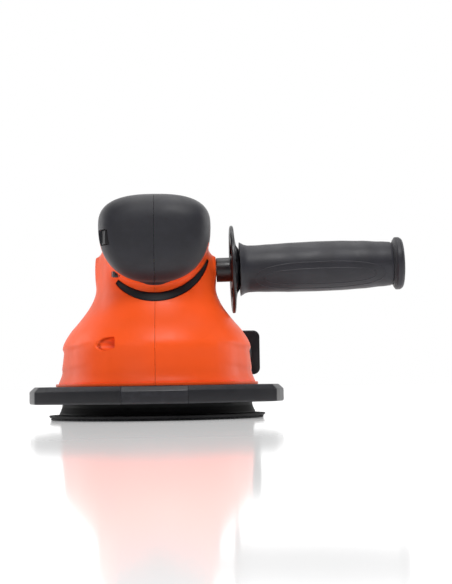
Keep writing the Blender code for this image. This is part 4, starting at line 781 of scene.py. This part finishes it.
def crescent(grow=0.0, inner_grow=None, steps=40, width=6.2):
    """The outline of the strip's groove, seen along Y, in mm."""
    inner_grow = grow if inner_grow is None else inner_grow
    upper, lower = [], []
    for i in range(steps + 1):
        turn = STRIP_FROM + (STRIP_TO - STRIP_FROM) * i / steps
        a = radians(turn)
        reach = STRIP_TO if turn > 0 else -STRIP_FROM
        blunt = 1.0 if turn > 0 else 3.2
        thickness = blunt + (width - blunt) * max(0.0, 1 - (turn / reach) ** 2) ** 0.7
        for edge, offset in ((upper, -inner_grow), (lower, thickness + grow)):
            edge.append(((STRIP_WIDTH + offset) * sin(a), STRIP_MIDDLE - (STRIP_DROP + offset) * cos(a)))
    return upper, lower


def neck_core(inset):
    """The neck's part of the dome, moved in all round."""
    return loft("core", [oval(x - inset, y - inset, z, 96) for z, x, y in through(DOME[11:21], 3)])


def case_screws():
    """Place and seat of each case screw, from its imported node."""
    return [(name, centre_mm(name).y, centre_mm(name).z, box_mm(name)[0].x)
            for name in sorted(frame["nodes"]) if name.startswith("case_screw")]


def screw_pocket(y, z, seat):
    """A cutter for a screw pocket: a round hole from the left whose mouth the body's own surface sets."""
    stations = ((-90.0, POCKET_R), (seat - 0.4, POCKET_R), (seat, POCKET_R - 0.4))
    return loft("pocket", [[(x, a, b) for a, b in circle(r, 48, (y, z))] for x, r in stations])


def pocket_linings(skin):
    """The tubes that line the screw pockets, ending under the shell's surface."""
    inner = modify(new_object("inner", skin.data.copy()), "DISPLACE", strength=-0.9 * MM, mid_level=0.0)
    linings = []
    for _, y, z, seat in case_screws():
        tube = prism("tube", circle(POCKET_R + 1.6, 48, (y, z)), -80.0, seat + 2.4, "X")
        modify(tube, "BOOLEAN", operation="INTERSECT", solver="EXACT", object=inner)
        shank = prism("shank", circle(1.9, 16, (y, z)), seat - 1.0, seat + 4.0, "X")
        linings.append(cut(tube, screw_pocket(y, z, seat), shank))
    bpy.data.objects.remove(inner, do_unlink=True)
    return linings


def foot_flange(sign):
    """One half of the flange at the foot of the shells."""
    flange = turned("flange", [(r, BODY_FOOT + z) for r, z in rounded(FLANGE, 0.3, 2)], 160)
    near, far = sign * FLANGE_HALF_SEAM, sign * 90.0
    half = block("half", (min(near, far), -90.0, BODY_FOOT - 3.0), (max(near, far), 90.0, BODY_FOOT + 6.0))
    return combine(flange, "INTERSECT", half)


def shell_cutters(side, sign, strip_width):
    """Cutters for the strip's groove, the handle's bore, the vents, the gland, and the side's own holes."""
    upper, lower = crescent(0.15, width=strip_width)
    cutters = [cut(prism("groove", upper + lower[::-1], -70.0, -10.0, "Y"), neck_core(1.9))]
    mouth, outside = HANDLE_FACE + 0.4, HANDLE_FACE + 4.0
    bore = rounded([(0, HANDLE_BORE_FROM), (HANDLE_BORE_R, HANDLE_BORE_FROM),
                    (HANDLE_BORE_R, HANDLE_FACE - 0.5), (HANDLE_RECESS_R, mouth),
                    (HANDLE_RECESS_R, outside), (0, outside)], 0.1, 2)
    cutters.append(put(turned("bore", bore, 48), (0, 0, HANDLE_Z), sign * pi / 2, "Y"))
    for i in range(VENTS):
        z = VENT_FOOT + i * VENT_PITCH
        slot = rounded_rectangle((-VENT_HALF_WIDE, z), (VENT_HALF_WIDE, z + VENT_HIGH), 1.15, 3)
        cutters.append(prism("vent", slot, 30.0, 72.0, "Y"))
    if side == "left":
        foot, dial = box_mm("speed_dial")[0].z, centre_mm("speed_dial")
        outline = rounded_rectangle((-DIAL_SLOT_HALF, foot - DIAL_SLOT_BELOW),
                                    (DIAL_SLOT_HALF, foot + DIAL_SLOT_ABOVE), 1.6, 4)
        slot = prism("dial slot", outline, 8.0, 40.0, "Y")
        slot.data.transform(Matrix.Rotation(atan2(dial.y, dial.x) - pi / 2, 4, "Z"))
        cutters.append(slot)
        cutters += [screw_pocket(y, z, seat) for _, y, z, seat in case_screws()]
    else:
        cutters.append(prism("duct", circle(DUCT_HOLE_R, 48, (DUCT.x, DUCT.z)), 24.0, 66.0, "Y"))
    gland = circle(GLAND_HOLE_R, 32, (0.0, centre_mm("cable_gland").z))
    return [*cutters, prism("gland", gland, 120.0, 160.0, "Y")]


class SANDER_OT_body(bpy.types.Operator):
    """Moulds the two orange shells, the nose cap and the handle skin from one blended surface"""

    bl_idname = "sander.body"
    bl_label = "Body Shells and Covers"

    def execute(self, context):
        sizes = context.scene.sander_sizes
        skin = smooth_body(sizes)
        linings = pocket_linings(skin)
        pieces = split_skin(skin)
        for side, sign in (("left", -1), ("right", 1)):
            shell = thicken(pieces["shell", side], sizes.shell_wall, sizes.seam_bevel)
            flange = foot_flange(sign)
            cut(shell, *shell_cutters(side, sign, sizes.strip_width / MM))
            shell = merge("shell", [shell, flange, *(linings if side == "left" else [])])
            dress(shell, f"shell_{side}", "shell orange", "housing", "body_shell", f"housing_{side}")

            nose = thicken(pieces["nose", side], COVER_WALL * MM, sizes.seam_bevel)
            grip = thicken(pieces["grip", side], COVER_WALL * MM, sizes.seam_bevel)
            if side == "left":
                low, high = box_mm("power_rocker")
                slot = rounded_rectangle((low.y - 1.1, low.z - 0.5), (high.y + 1.1, high.z + 0.5), 1.2, 4)
                cut(nose, prism("slot", slot, -60.0, -26.0, "X"))
                cut(grip, *[screw_pocket(y, z, seat) for _, y, z, seat in case_screws()])
            dress(nose, f"nose_cap_{side}", "soft cover", "housing", "soft_cover", f"nose_cover_{side}")
            dress(grip, f"handle_skin_{side}", "soft cover", "housing", "soft_cover", f"handle_grip_{side}")
        return {"FINISHED"}


class SANDER_OT_neck_strip(bpy.types.Operator):
    """Lays the crescent rubber strip in its groove under the nose"""

    bl_idname = "sander.neck_strip"
    bl_label = "Neck Strip"

    def execute(self, context):
        width = context.scene.sander_sizes.strip_width / MM
        steps, across = 56, 6
        upper, lower = crescent(-0.25, -0.25, steps, width)
        builder = bmesh.new()
        rows = {}
        for i in range(steps + 1):
            for k in range(across + 1):
                t = k / across
                x = upper[i][0] * (1 - t) + lower[i][0] * t
                z = upper[i][1] * (1 - t) + lower[i][1] * t
                half_x, half_y = neck_size(z)
                crown = 0.35 * (1 - (2 * t - 1) ** 4)
                for layer, inset in (("out", 1.0 - crown), ("in", 2.6)):
                    y = -(half_y - inset) * sqrt(max(0.0, 1 - (x / (half_x - inset)) ** 2))
                    rows[i, k, layer] = builder.verts.new(Vector((x, y, z)) * MM)

        def face(*keys):
            builder.faces.new([rows[key] for key in keys])

        for i in range(steps):
            for k in range(across):
                for layer in ("out", "in"):
                    face((i, k, layer), (i + 1, k, layer), (i + 1, k + 1, layer), (i, k + 1, layer))
        for i in range(steps):
            for k in (0, across):
                face((i, k, "out"), (i + 1, k, "out"), (i + 1, k, "in"), (i, k, "in"))
        for k in range(across):
            for i in (0, steps):
                face((i, k, "out"), (i, k + 1, "out"), (i, k + 1, "in"), (i, k, "in"))
        strip = bevel(new_piece("strip", builder), 0.2 * MM, 2, 50)
        dress(strip, "neck_strip", "strip rubber", "housing", "skirt_rubber", "neck_trim_strip")
        return {"FINISHED"}


# --- guard, skirt and pad -----------------------------------------------------------------------


def guard_outline(inset=0.0):
    """The faceted outline at the guard's rim, each facet moved in by the inset, in mm."""
    quarter = ((GUARD_HIGH.x, GUARD_SIDE), GUARD_CORNER, (GUARD_FRONT, GUARD_HIGH.y))
    right = [(x, -y) for x, y in reversed(quarter)] + list(quarter)
    points = [Vector(p) for p in right + [(-x, -y) for x, y in right]]
    moved = []
    for i, point in enumerate(points):
        before = (point - points[i - 1]).normalized()
        after = (points[(i + 1) % len(points)] - point).normalized()
        bisector = Vector((-(before + after).y, (before + after).x)).normalized()
        moved.append(point + bisector * (inset / bisector.dot(Vector((-before.y, before.x)))))
    return [(p.x, p.y) for p in moved]


def guard_blank(edge):
    """The guard before the front segment is parted from it."""
    bottom, top = GUARD_LOW.z, GUARD_HIGH.z
    levels = ((bottom, 0.5), (bottom + 0.9, 0.0), (top - 3.2, 0.0), (top, 3.5))
    blank = loft("guard", [[(x, y, z) for x, y in guard_outline(inset)] for z, inset in levels])
    inside = prism("inside", guard_outline(GUARD_WALL), bottom - OVERRUN, top - GUARD_ROOF)
    cut(blank, inside, prism("opening", circle(GUARD_OPENING_R, 96), bottom, top + OVERRUN))
    return bevel(blank, edge, 3, 16.0)


class SANDER_OT_guard(bpy.types.Operator):
    """Builds the faceted guard and its separate front segment"""

    bl_idname = "sander.guard"
    bl_label = "Guard"

    def execute(self, context):
        edge = context.scene.sander_sizes.guard_edge
        packed = box_mm("guard_front_segment")[1]
        side, back, front = packed.x, packed.y - 2.8, GUARD_LOW.y - OVERRUN
        bottom, top = GUARD_LOW.z - OVERRUN, GUARD_HIGH.z + OVERRUN
        ceiling = GUARD_HIGH.z - GUARD_ROOF
        guard, segment = guard_blank(edge), guard_blank(edge)
        cut(guard, block("gap", (-side - GAP, front, bottom), (side + GAP, back + GAP, top)))
        combine(segment, "INTERSECT", block("keep", (-side, front, bottom), (side, back, top)))
        tongues = [block("tongue", (x - 3.0, back - 6.0, ceiling - 2.2), (x + 3.0, back + 2.8, ceiling - GAP))
                   for x in (-side * 0.6, side * 0.6)]
        rails = [block("rail", (x - 0.6, GUARD_LOW.y + 2.5, GUARD_LOW.z + 0.6),
                       (x + 0.6, back - 0.6, ceiling + 0.4)) for x in (-14.0, -7.0, 0.0, 7.0, 14.0)]
        segment = merge("segment", [bevel(segment, 0.35 * MM, 2, 50), *tongues, *rails])
        bevel(guard, 0.3 * MM, 2, 60)
        dress(guard, "guard_ring", "guard plastic", "housing", "guard_plastic", "guard_plate")
        dress(segment, "guard_segment", "guard plastic", "guard_segment", "guard_plastic",
              "guard_front_segment")
        return {"FINISHED"}


class SANDER_OT_pad(bpy.types.Operator):
    """Builds the brake skirt, the foam pad with its lip, and the hook facing"""

    bl_idname = "sander.pad"
    bl_label = "Pad and Skirt"

    def execute(self, context):
        foot, top = (corner.z for corner in box_mm("pad_brake_skirt"))
        knee, flange = GUARD_LOW.z, top - 2.7
        profile = [(66.0, foot), (68.4, foot), (67.3, foot + 2.2), (66.3, foot + 4.8), (65.9, knee),
                   (65.9, flange), (70.0, flange), (70.0, top), (63.5, top), (63.5, knee)]
        skirt = turned("skirt", rounded(profile, 0.5, 3), 160)
        dress(skirt, "brake_skirt", "skirt rubber", "housing", "skirt_rubber", "pad_brake_skirt")

        low, high = box_mm("pad_foam")
        bottom, crown, rim = low.z, high.z, (high.x - low.x) / 2
        centre = (0.0, (low.y + high.y) / 2)
        lip = bottom + 0.8
        profile = rounded([(0, bottom), (rim - 0.9, bottom), (rim, lip + 0.1), (rim, lip + 0.9),
                           (66.0, lip + 0.9), (59.0, lip + 1.0), (57.0, crown), (0, crown)], 0.35, 3)
        foam = turned("foam", profile, 192, centre)
        low, high = box_mm("hook_facing")
        facing_r = (high.x - low.x) / 2
        profile = rounded([(0, 0.0), (facing_r, 0.0), (facing_r, high.z), (0, high.z)], 0.2, 2)

        def ragged(r, _, angle):
            teeth = 0.32 * (1 + sin(angle * 240)) / 2 + 0.12 * (1 + sin(angle * 97))
            return r if r < facing_r - 1 else r - teeth

        facing = turned("facing", profile, 720, centre, ragged)
        for layer, name, finish_name, slot, node in (
                (foam, "foam_pad", "pad foam", "pad_foam", "pad_foam"),
                (facing, "hook_pile_facing", "hook pile", "hook_pile", "hook_facing")):
            cutters = []
            for reach, count, turn, radius in PAD_HOLES:
                for i in range(count):
                    a = 2 * pi * i / count + radians(turn)
                    at = (centre[0] + reach * cos(a), centre[1] + reach * sin(a))
                    cutters.append(prism("hole", circle(radius, 32, at), -OVERRUN, crown + OVERRUN))
            cut(layer, *cutters)
            dress(layer, name, finish_name, "pad", slot, node)
        return {"FINISHED"}


# --- side handle --------------------------------------------------------------------------------


def handle_frame():
    """Turns distances along +Z from the boss into places along the side handle's axis."""
    axis = Vector(joint_named("side_handle_unscrew")["axis"]).normalized()
    turn = Vector((0, 0, 1)).rotation_difference(axis).to_matrix().to_4x4()
    return Matrix.Translation(Vector((HANDLE_FACE, 0.0, HANDLE_Z)) * MM) @ turn


def sleeve_radius(share):
    """The sleeve's radius at a share of its length."""
    for (a, r0), (b, r1) in zip(SLEEVE, SLEEVE[1:]):
        if share <= b:
            t = (share - a) / (b - a)
            t = t * t * (3 - 2 * t)
            return r0 + (r1 - r0) * t
    return SLEEVE[-1][1]


def surface_line(name, points, radius, sides=6):
    """A thin raised line through points, as a closed tube."""
    builder = bmesh.new()
    rings = []
    count = len(points)
    for i, point in enumerate(points):
        ahead = Vector(points[(i + 1) % count]) - Vector(points[i - 1])
        ahead.normalize()
        outward = Vector((point[0], point[1], 0.0)).normalized()
        sideways = ahead.cross(outward).normalized()
        ring = [Vector(point) + radius * (c * outward + s * sideways) for c, s in circle(1.0, sides)]
        rings.append([builder.verts.new(v * MM) for v in ring])
    for i in range(count):
        here, there = rings[i], rings[(i + 1) % count]
        for k in range(sides):
            m = (k + 1) % sides
            builder.faces.new((here[k], here[m], there[m], there[k]))
    return new_piece(name, builder)


class SANDER_OT_side_handle(bpy.types.Operator):
    """Builds the side handle: collar and windowed flange, ribbed sleeve and end cap"""

    bl_idname = "sander.side_handle"
    bl_label = "Side Handle"

    def execute(self, context):
        place = handle_frame()
        low, high = box_mm("side_handle_core")
        rim = (high.y - low.y) / 2
        disc, start, end = HANDLE_DISC, SLEEVE_FROM, SLEEVE_FROM + SLEEVE_LENGTH
        profile = rounded([(HANDLE_STUD_HOLE_R, GAP), (8.5, GAP), (8.5, disc - 0.5), (9.5, disc + 1.0),
                           (14.5, disc + 1.7), (22.0, disc + 1.1), (rim - 1.4, disc), (rim, disc + 0.6),
                           (rim, disc + 2.2), (rim - 1.2, disc + 2.7), (23.0, disc + 3.3), (17.0, disc + 4.2),
                           (14.6, start - 0.4), (13.5, start - 0.1), (SLEEVE_BORE_R, start),
                           (SLEEVE_BORE_R, end), (HANDLE_STUD_HOLE_R, end)], 0.5, 3)
        core = turned("core", profile, 128)
        windows = []
        for i in range(WINDOWS):
            angles = [radians(360 / WINDOWS * i + WINDOW_HALF_TURN * (2 * k / 8 - 1)) for k in range(9)]
            outline = [(WINDOW_OUTER_R * cos(a), WINDOW_OUTER_R * sin(a)) for a in angles]
            outline += [(WINDOW_INNER_R * cos(a), WINDOW_INNER_R * sin(a)) for a in reversed(angles)]
            windows.append(prism("window", outline, disc - 2.0, disc + 9.0))
        cut(core, *windows)
        core.data.transform(place)
        dress(core, "handle_flange", "hard black", "side_handle", "black_plastic", "side_handle_core")

        line = context.scene.sander_sizes.grip_line / MM
        bore, first, last = SLEEVE_BORE_R + GAP, start + GAP, end - GAP
        outer = [(sleeve_radius(i / 100), first + (last - first) * i / 100) for i in range(1, 100)]
        profile = [(bore, first), (sleeve_radius(0.0) - 0.6, first), *outer, (sleeve_radius(1.0) - 0.5, last),
                   (bore, last)]
        sleeve = turned("sleeve", profile, 128)
        lines = [self.panel_line(facing, nest, line) for facing in (GRIP_PANEL, GRIP_PANEL + 180.0)
                 for nest in range(2)]
        sleeve = merge("sleeve", [sleeve, *lines])
        sleeve.data.transform(place)
        dress(sleeve, "handle_sleeve", "grip rubber", "side_handle", "grip_rubber", "side_handle_grip")

        foot = end + GAP
        profile = rounded([(0, foot), (15.2, foot), (15.4, foot + 0.9), (16.6, foot + 1.0),
                           (18.5, foot + 2.2), (18.5, foot + 5.0), (17.2, foot + 6.9), (12.0, foot + 7.5),
                           (11.0, foot + 7.1), (0, foot + 7.1)], 0.6, 4)
        cap = turned("cap", profile, 128)
        cap.data.transform(place)
        dress(cap, "handle_end_cap", "grip rubber", "side_handle", "grip_rubber", "side_handle_end_cap")
        return {"FINISHED"}

    @staticmethod
    def panel_line(facing, nest, thick):
        """The raised outline of a panel on the sleeve. The second of a nest lies inside the first."""
        half_long, half_turn = PANEL_HALF_LONG - 6.0 * nest, PANEL_HALF_TURN - 15.0 * nest
        points = []
        for i in range(120):
            a = 2 * pi * i / 120
            share = PANEL_MIDDLE + half_long * squared(cos(a), 0.7) / SLEEVE_LENGTH
            turn = radians(facing + half_turn * squared(sin(a), 0.8))
            radius = sleeve_radius(share) - thick * 0.3
            points.append((radius * sin(turn), radius * cos(turn), SLEEVE_FROM + SLEEVE_LENGTH * share))
        return surface_line("line", points, thick)


# --- dust unit ----------------------------------------------------------------------------------


class SANDER_OT_dust_unit(bpy.types.Operator):
    """Builds the dust spigot, the box and its door"""

    bl_idname = "sander.dust_unit"
    bl_label = "Dust Unit"

    def execute(self, context):
        low, high = box_mm("dust_spigot")
        box_low, box_high = box_mm("dust_box")
        collar = box_low.y - GAP
        start = collar - COLLAR_WIDE
        profile = rounded([(SPIGOT_BORE_R, low.y), (SPIGOT_R - 0.1, low.y), (SPIGOT_R - 0.1, start),
                           (COLLAR_R - 0.9, start), (COLLAR_R, start + 1.0), (COLLAR_R, collar),
                           (SPIGOT_R, collar), (SPIGOT_R, high.y), (SPIGOT_BORE_R, high.y)], 0.4, 3)
        spigot = put(turned("spigot", profile, 96), (DUCT.x, 0, DUCT.z), -pi / 2, "X")
        dress(spigot, "dust_collar", "hard black", "housing", "black_plastic", "dust_spigot")

        left, right, front, roof = box_low.x, box_high.x, box_low.y, box_high.z
        middle = (left + right) / 2
        pin_y, pin_z = (value / MM for value in joint_named("dust_door_open")["pos_m"][1:])
        door_face = pin_y - DOOR_HALF_THICK

        def section(inset, radius, steps=8):
            return rounded_rectangle((left + inset, BOX_FLOOR + inset), (right - inset, roof - inset),
                                     radius, steps)

        box = prism("box", section(0.0, BOX_CORNER), front, door_face - GAP, "Y")
        hollow = section(BOX_WALL, BOX_CORNER - BOX_WALL)
        cut(box, prism("hollow", hollow, front + BOX_WALL, door_face + 4.0, "Y"),
            prism("mouth", circle(SPIGOT_R + GAP, 64, (DUCT.x, DUCT.z)), front - 2.0, front + 4.0, "Y"))
        bevel(box, 0.7 * MM, 3, 40)
        ears = [self.hinge_ear(middle + x, pin_y, pin_z) for x in (-HINGE_EAR_X, HINGE_EAR_X)]
        box = merge("box", [box, *ears])
        dress(box, "dust_tub", "hard black", "dust_box", "black_plastic", "dust_box")

        door = prism("door", section(0.0, BOX_CORNER), door_face, pin_y + DOOR_HALF_THICK, "Y")
        cut(door, prism("panel", section(7.0, 3.0, 6), pin_y + 0.5, pin_y + 5.0, "Y"))
        bevel(door, 0.5 * MM, 3, 40)
        knuckle = prism("knuckle", circle(HINGE_R, 32, (pin_y, pin_z)), middle - 10.0, middle + 10.0, "X")
        combine(knuckle, "UNION",
                block("web", (middle - 9.5, pin_y - 1.0, pin_z), (middle + 9.5, pin_y + 1.0, pin_z + 6.0)))
        pin_hole = circle(HINGE_PIN_R, 24, (pin_y, pin_z))
        cut(knuckle, prism("pin hole", pin_hole, middle - 12.0, middle + 12.0, "X"))
        tab = block("tab", (middle - 9.0, pin_y + 0.4, roof - 6.0), (middle + 9.0, pin_y + 4.2, roof - 2.0))
        ridges = []
        for i in range(3):
            z = roof - 5.6 + 1.1 * i
            ridge = block("ridge", (middle - 8.0, pin_y + 1.0, z), (middle + 8.0, pin_y + 4.3, z + 0.5))
            ridges.append(bevel(ridge, 0.15 * MM, 1, 40))
        door = merge("door", [door, bevel(knuckle, 0.2 * MM, 2, 40), bevel(tab, 0.8 * MM, 3, 40), *ridges])
        dress(door, "dust_door", "hard black", "dust_door", "black_plastic", "dust_box_door")
        return {"FINISHED"}

    @staticmethod
    def hinge_ear(x, pin_y, pin_z):
        """An ear under the box that holds the door's pin."""
        door_face = pin_y - DOOR_HALF_THICK
        ear = prism("ear", circle(HINGE_R, 32, (pin_y, pin_z)), x - 5.0, x + 5.0, "X")
        combine(ear, "UNION",
                block("root", (x - 4.5, door_face - 8.0, pin_z - 1.5), (x + 4.5, pin_y, BOX_FLOOR + 0.8)))
        clear = block("clear", (x - 9.0, door_face - GAP, BOX_FLOOR - GAP),
                      (x + 9.0, pin_y + 9.0, BOX_FLOOR + 9.0))
        cut(ear, clear, prism("pin hole", circle(HINGE_PIN_R, 24, (pin_y, pin_z)), x - 9.0, x + 9.0, "X"))
        return bevel(ear, 0.25 * MM, 2, 40)


# --- controls and fasteners ---------------------------------------------------------------------


class SANDER_OT_controls(bpy.types.Operator):
    """Builds the rocker, the speed wheel and the cable gland"""

    bl_idname = "sander.controls"
    bl_label = "Controls"

    def execute(self, context):
        low, high = box_mm("power_rocker")
        outer, middle = low.x, (low.y + high.y) / 2
        outline = [(high.x, low.y), (high.x, high.y), (outer, high.y), (outer + 0.5, high.y - 2.0),
                   (outer + 1.1, middle), (outer + 1.9, low.y + 2.0), (outer + 2.7, low.y)]
        rocker = bevel(prism("rocker", outline, low.z, high.z), 0.5 * MM, 3, 25)
        ribs = []
        for i in range(3):
            y = high.y - 1.2 - 1.0 * i
            rib = block("rib", (outer + 0.35, y, low.z + 1.6), (outer + 1.6, y + 0.4, high.z - 1.6))
            ribs.append(bevel(rib, 0.1 * MM, 1, 40))
        rocker = merge("rocker", [rocker, *ribs])
        # The rocker's finish is the darker black, which paints the shade of its slot.
        dress(rocker, "rocker_cap", "control black", "rocker", "black_plastic", "power_rocker")

        low, high = box_mm("speed_dial")
        x, y, z = (value / MM for value in joint_named("speed_dial_turn")["pos_m"])
        radius = (high.x - low.x) / 2

        def toothed(r, _, angle):
            return r if r < radius - 1 else r - 0.55 * max(0.0, sin(angle * 30)) ** 0.5

        profile = rounded([(0, z - 2.5), (radius - 0.8, z - 2.5), (radius, z - 1.7), (radius, z + 1.7),
                           (radius - 0.8, z + 2.5), (2.0, z + 2.5), (2.0, high.z), (0, high.z)], 0.25, 2)
        dial = turned("dial", profile, 240, (x, y), toothed)
        dress(dial, "speed_wheel", "hard black", "dial", "black_plastic", "speed_dial")

        start, end = (corner.y for corner in box_mm("cable_gland"))
        flange = GLAND_FLANGE
        profile = [(3.6, start), (6.5, start), (6.5, flange), (9.0, flange), (9.0, flange + 2.0),
                   (6.2, flange + 2.6)]
        for i in range(3):
            at = flange + 2.8 + i * 1.3
            profile += [(5.4, at), (5.9, at + 0.3), (5.9, at + 0.7), (5.4, at + 0.9)]
        profile += [(4.9, end), (3.6, end)]
        gland = turned("gland", rounded(profile, 0.25, 2), 64)
        put(gland, (0, 0, centre_mm("cable_gland").z), -pi / 2, "X")
        dress(gland, "cord_gland", "skirt rubber", "housing", "skirt_rubber", "cable_gland")
        return {"FINISHED"}


class SANDER_OT_fasteners(bpy.types.Operator):
    """Makes the case screws, with a cross recess in each head"""

    bl_idname = "sander.fasteners"
    bl_label = "Case Screws"

    def execute(self, context):
        for name, y, z, seat in case_screws():
            length = box_mm(name)[1].x - seat
            profile = rounded([(0, 0.0), (2.4, 0.0), (3.2, 0.9), (3.2, 2.3), (1.6, 2.3), (1.6, length - 1.5),
                               (0.6, length), (0, length)], 0.2, 2)
            screw = turned("screw", profile, 48)
            cross = combine(block("arm", (-1.7, -0.45, -1.0), (1.7, 0.45, 1.3)), "UNION",
                            block("arm", (-0.45, -1.7, -1.0), (0.45, 1.7, 1.31)))
            put(cut(screw, cross), (seat, y, z), pi / 2, "Y")
            dress(screw, f"{name}_detailed", "steel", "housing", "steel", name)
        return {"FINISHED"}


INNER_FINISHES = {
    "steel": ("pad_spindle", "pad_screw", "guard_screw", "motor_shaft", "pad_bearing", "lower_bearing",
              "upper_bearing", "eccentric_counterweight", "side_handle_stud", "dust_door_pin"),
    "steel sheets": ("stator_core", "rotor_core"),
    "copper wire": ("field_coil", "rotor_winding"),
    "copper bars": ("commutator",),
    "brass": ("handle_insert", "brush_holder"),
    "cast aluminium": ("bearing_carrier",),
    "carbon": ("carbon_brush",),
    "circuit board": ("speed_board",),
    "filter paper": ("dust_filter",),
    "hard black": ("cooling_fan", "brush_bracket", "switch_module", "speed_potentiometer",
                   "pad_backing_plate"),
}


class SANDER_OT_inner_parts(bpy.types.Operator):
    """Gives the carried-over parts inside the body their finishes"""

    bl_idname = "sander.inner_parts"
    bl_label = "Inner Parts"

    def execute(self, context):
        for finish_name, starts in INNER_FINISHES.items():
            for name, node in frame["nodes"].items():
                if name.startswith(starts):
                    node.data.materials.clear()
                    node.data.materials.append(finish(finish_name))
                    node.data.shade_smooth()
                    node.data.set_sharp_from_angle(angle=radians(35))
        return {"FINISHED"}


# --- stage --------------------------------------------------------------------------------------


def area_light(name, place, aim, size, power):
    data = bpy.data.lights.new(name, "AREA")
    data.shape = "RECTANGLE"
    data.size, data.size_y = size
    data.energy = power
    lamp = new_object(name, data)
    lamp.location = place
    lamp.rotation_euler = (Vector(aim) - Vector(place)).to_track_quat("-Z", "Y").to_euler()


class SANDER_OT_stage(bpy.types.Operator):
    """Sets the pale floor, the soft lights and the camera"""

    bl_idname = "sander.stage"
    bl_label = "Stage"

    def execute(self, context):
        scene = context.scene
        scene.view_settings.view_transform = "Standard"
        world = bpy.data.worlds.new("studio")
        world.use_nodes = True
        tree = world.node_tree
        sky = tree.nodes["Background"]
        sky.inputs["Color"].default_value = (1.0, 1.0, 1.0, 1.0)
        way = tree.nodes.new("ShaderNodeSeparateXYZ")
        link(tree, tree.nodes.new("ShaderNodeTexCoord").outputs["Generated"], way.inputs["Vector"])
        glow = ramp(tree, way.outputs["Y"], 0.15, 0.85, 0.07, 1.0)
        link(tree, glow, sky.inputs["Strength"])
        scene.world = world

        builder = bmesh.new()
        bmesh.ops.create_grid(builder, x_segments=4, y_segments=4, size=6.0)
        floor = new_piece("floor", builder)
        floor.location.z = -0.0002
        material, tree, shader = new_material("pale floor", 0.08, specular=0.4)
        grain = noise(tree, coordinates(tree), 3.0, 2.0)
        pale = blend_colours(tree, grain, (0.93, 0.93, 0.93), (0.96, 0.96, 0.96))
        link(tree, pale, shader.inputs["Base Color"])
        shader.inputs["Emission Color"].default_value = (1.0, 1.0, 1.0, 1.0)
        shader.inputs["Emission Strength"].default_value = 0.22
        floor.data.materials.append(material)

        for light in LIGHTS:
            area_light(*light)

        data = bpy.data.cameras.new("camera")
        data.lens, data.sensor_width = CAMERA_LENS, CAMERA_SENSOR
        data.clip_start, data.clip_end = 0.05, 20.0
        camera = new_object("camera", data)
        camera.location = (CAMERA_ASIDE * cos(CAMERA_YAW) - CAMERA_AWAY * sin(CAMERA_YAW),
                           -CAMERA_ASIDE * sin(CAMERA_YAW) - CAMERA_AWAY * cos(CAMERA_YAW), CAMERA_UP)
        look = Matrix.Identity(4)
        for angle, axis in ((-CAMERA_YAW, "Z"), (pi / 2 + CAMERA_PITCH, "X"), (CAMERA_ROLL, "Z")):
            look = look @ Matrix.Rotation(angle, 4, axis)
        camera.rotation_euler = look.to_euler()
        scene.camera = camera
        return {"FINISHED"}


class SANDER_PT_panel(bpy.types.Panel):
    """The sander's steps and values in the sidebar"""

    bl_idname = "SANDER_PT_panel"
    bl_label = "Orbital Sander"
    bl_space_type = "VIEW_3D"
    bl_region_type = "UI"
    bl_category = "Sander"

    def draw(self, context):
        for operator in OPERATORS:
            self.layout.operator(operator.bl_idname)
        for group in (context.scene.sander_sizes, context.scene.sander_colours):
            for name in group.__annotations__:
                self.layout.prop(group, name)


OPERATORS = (SANDER_OT_stage, SANDER_OT_body, SANDER_OT_neck_strip, SANDER_OT_guard, SANDER_OT_pad,
             SANDER_OT_side_handle, SANDER_OT_dust_unit, SANDER_OT_controls, SANDER_OT_fasteners,
             SANDER_OT_inner_parts)
CLASSES = (SanderSizes, SanderColours, *OPERATORS, SANDER_PT_panel)


def register():
    for each in CLASSES:
        bpy.utils.register_class(each)
    bpy.types.Scene.sander_sizes = bpy.props.PointerProperty(type=SanderSizes)
    bpy.types.Scene.sander_colours = bpy.props.PointerProperty(type=SanderColours)


def unregister():
    del bpy.types.Scene.sander_colours
    del bpy.types.Scene.sander_sizes
    for each in reversed(CLASSES):
        bpy.utils.unregister_class(each)


def run(operator):
    group, name = operator.bl_idname.split(".")
    result = getattr(getattr(bpy.ops, group), name)()
    if result != {"FINISHED"}:
        raise RuntimeError(f"{operator.bl_label} didn't finish")


def main():
    register()
    for operator in OPERATORS:
        run(operator)


if __name__ == "__main__":
    main()
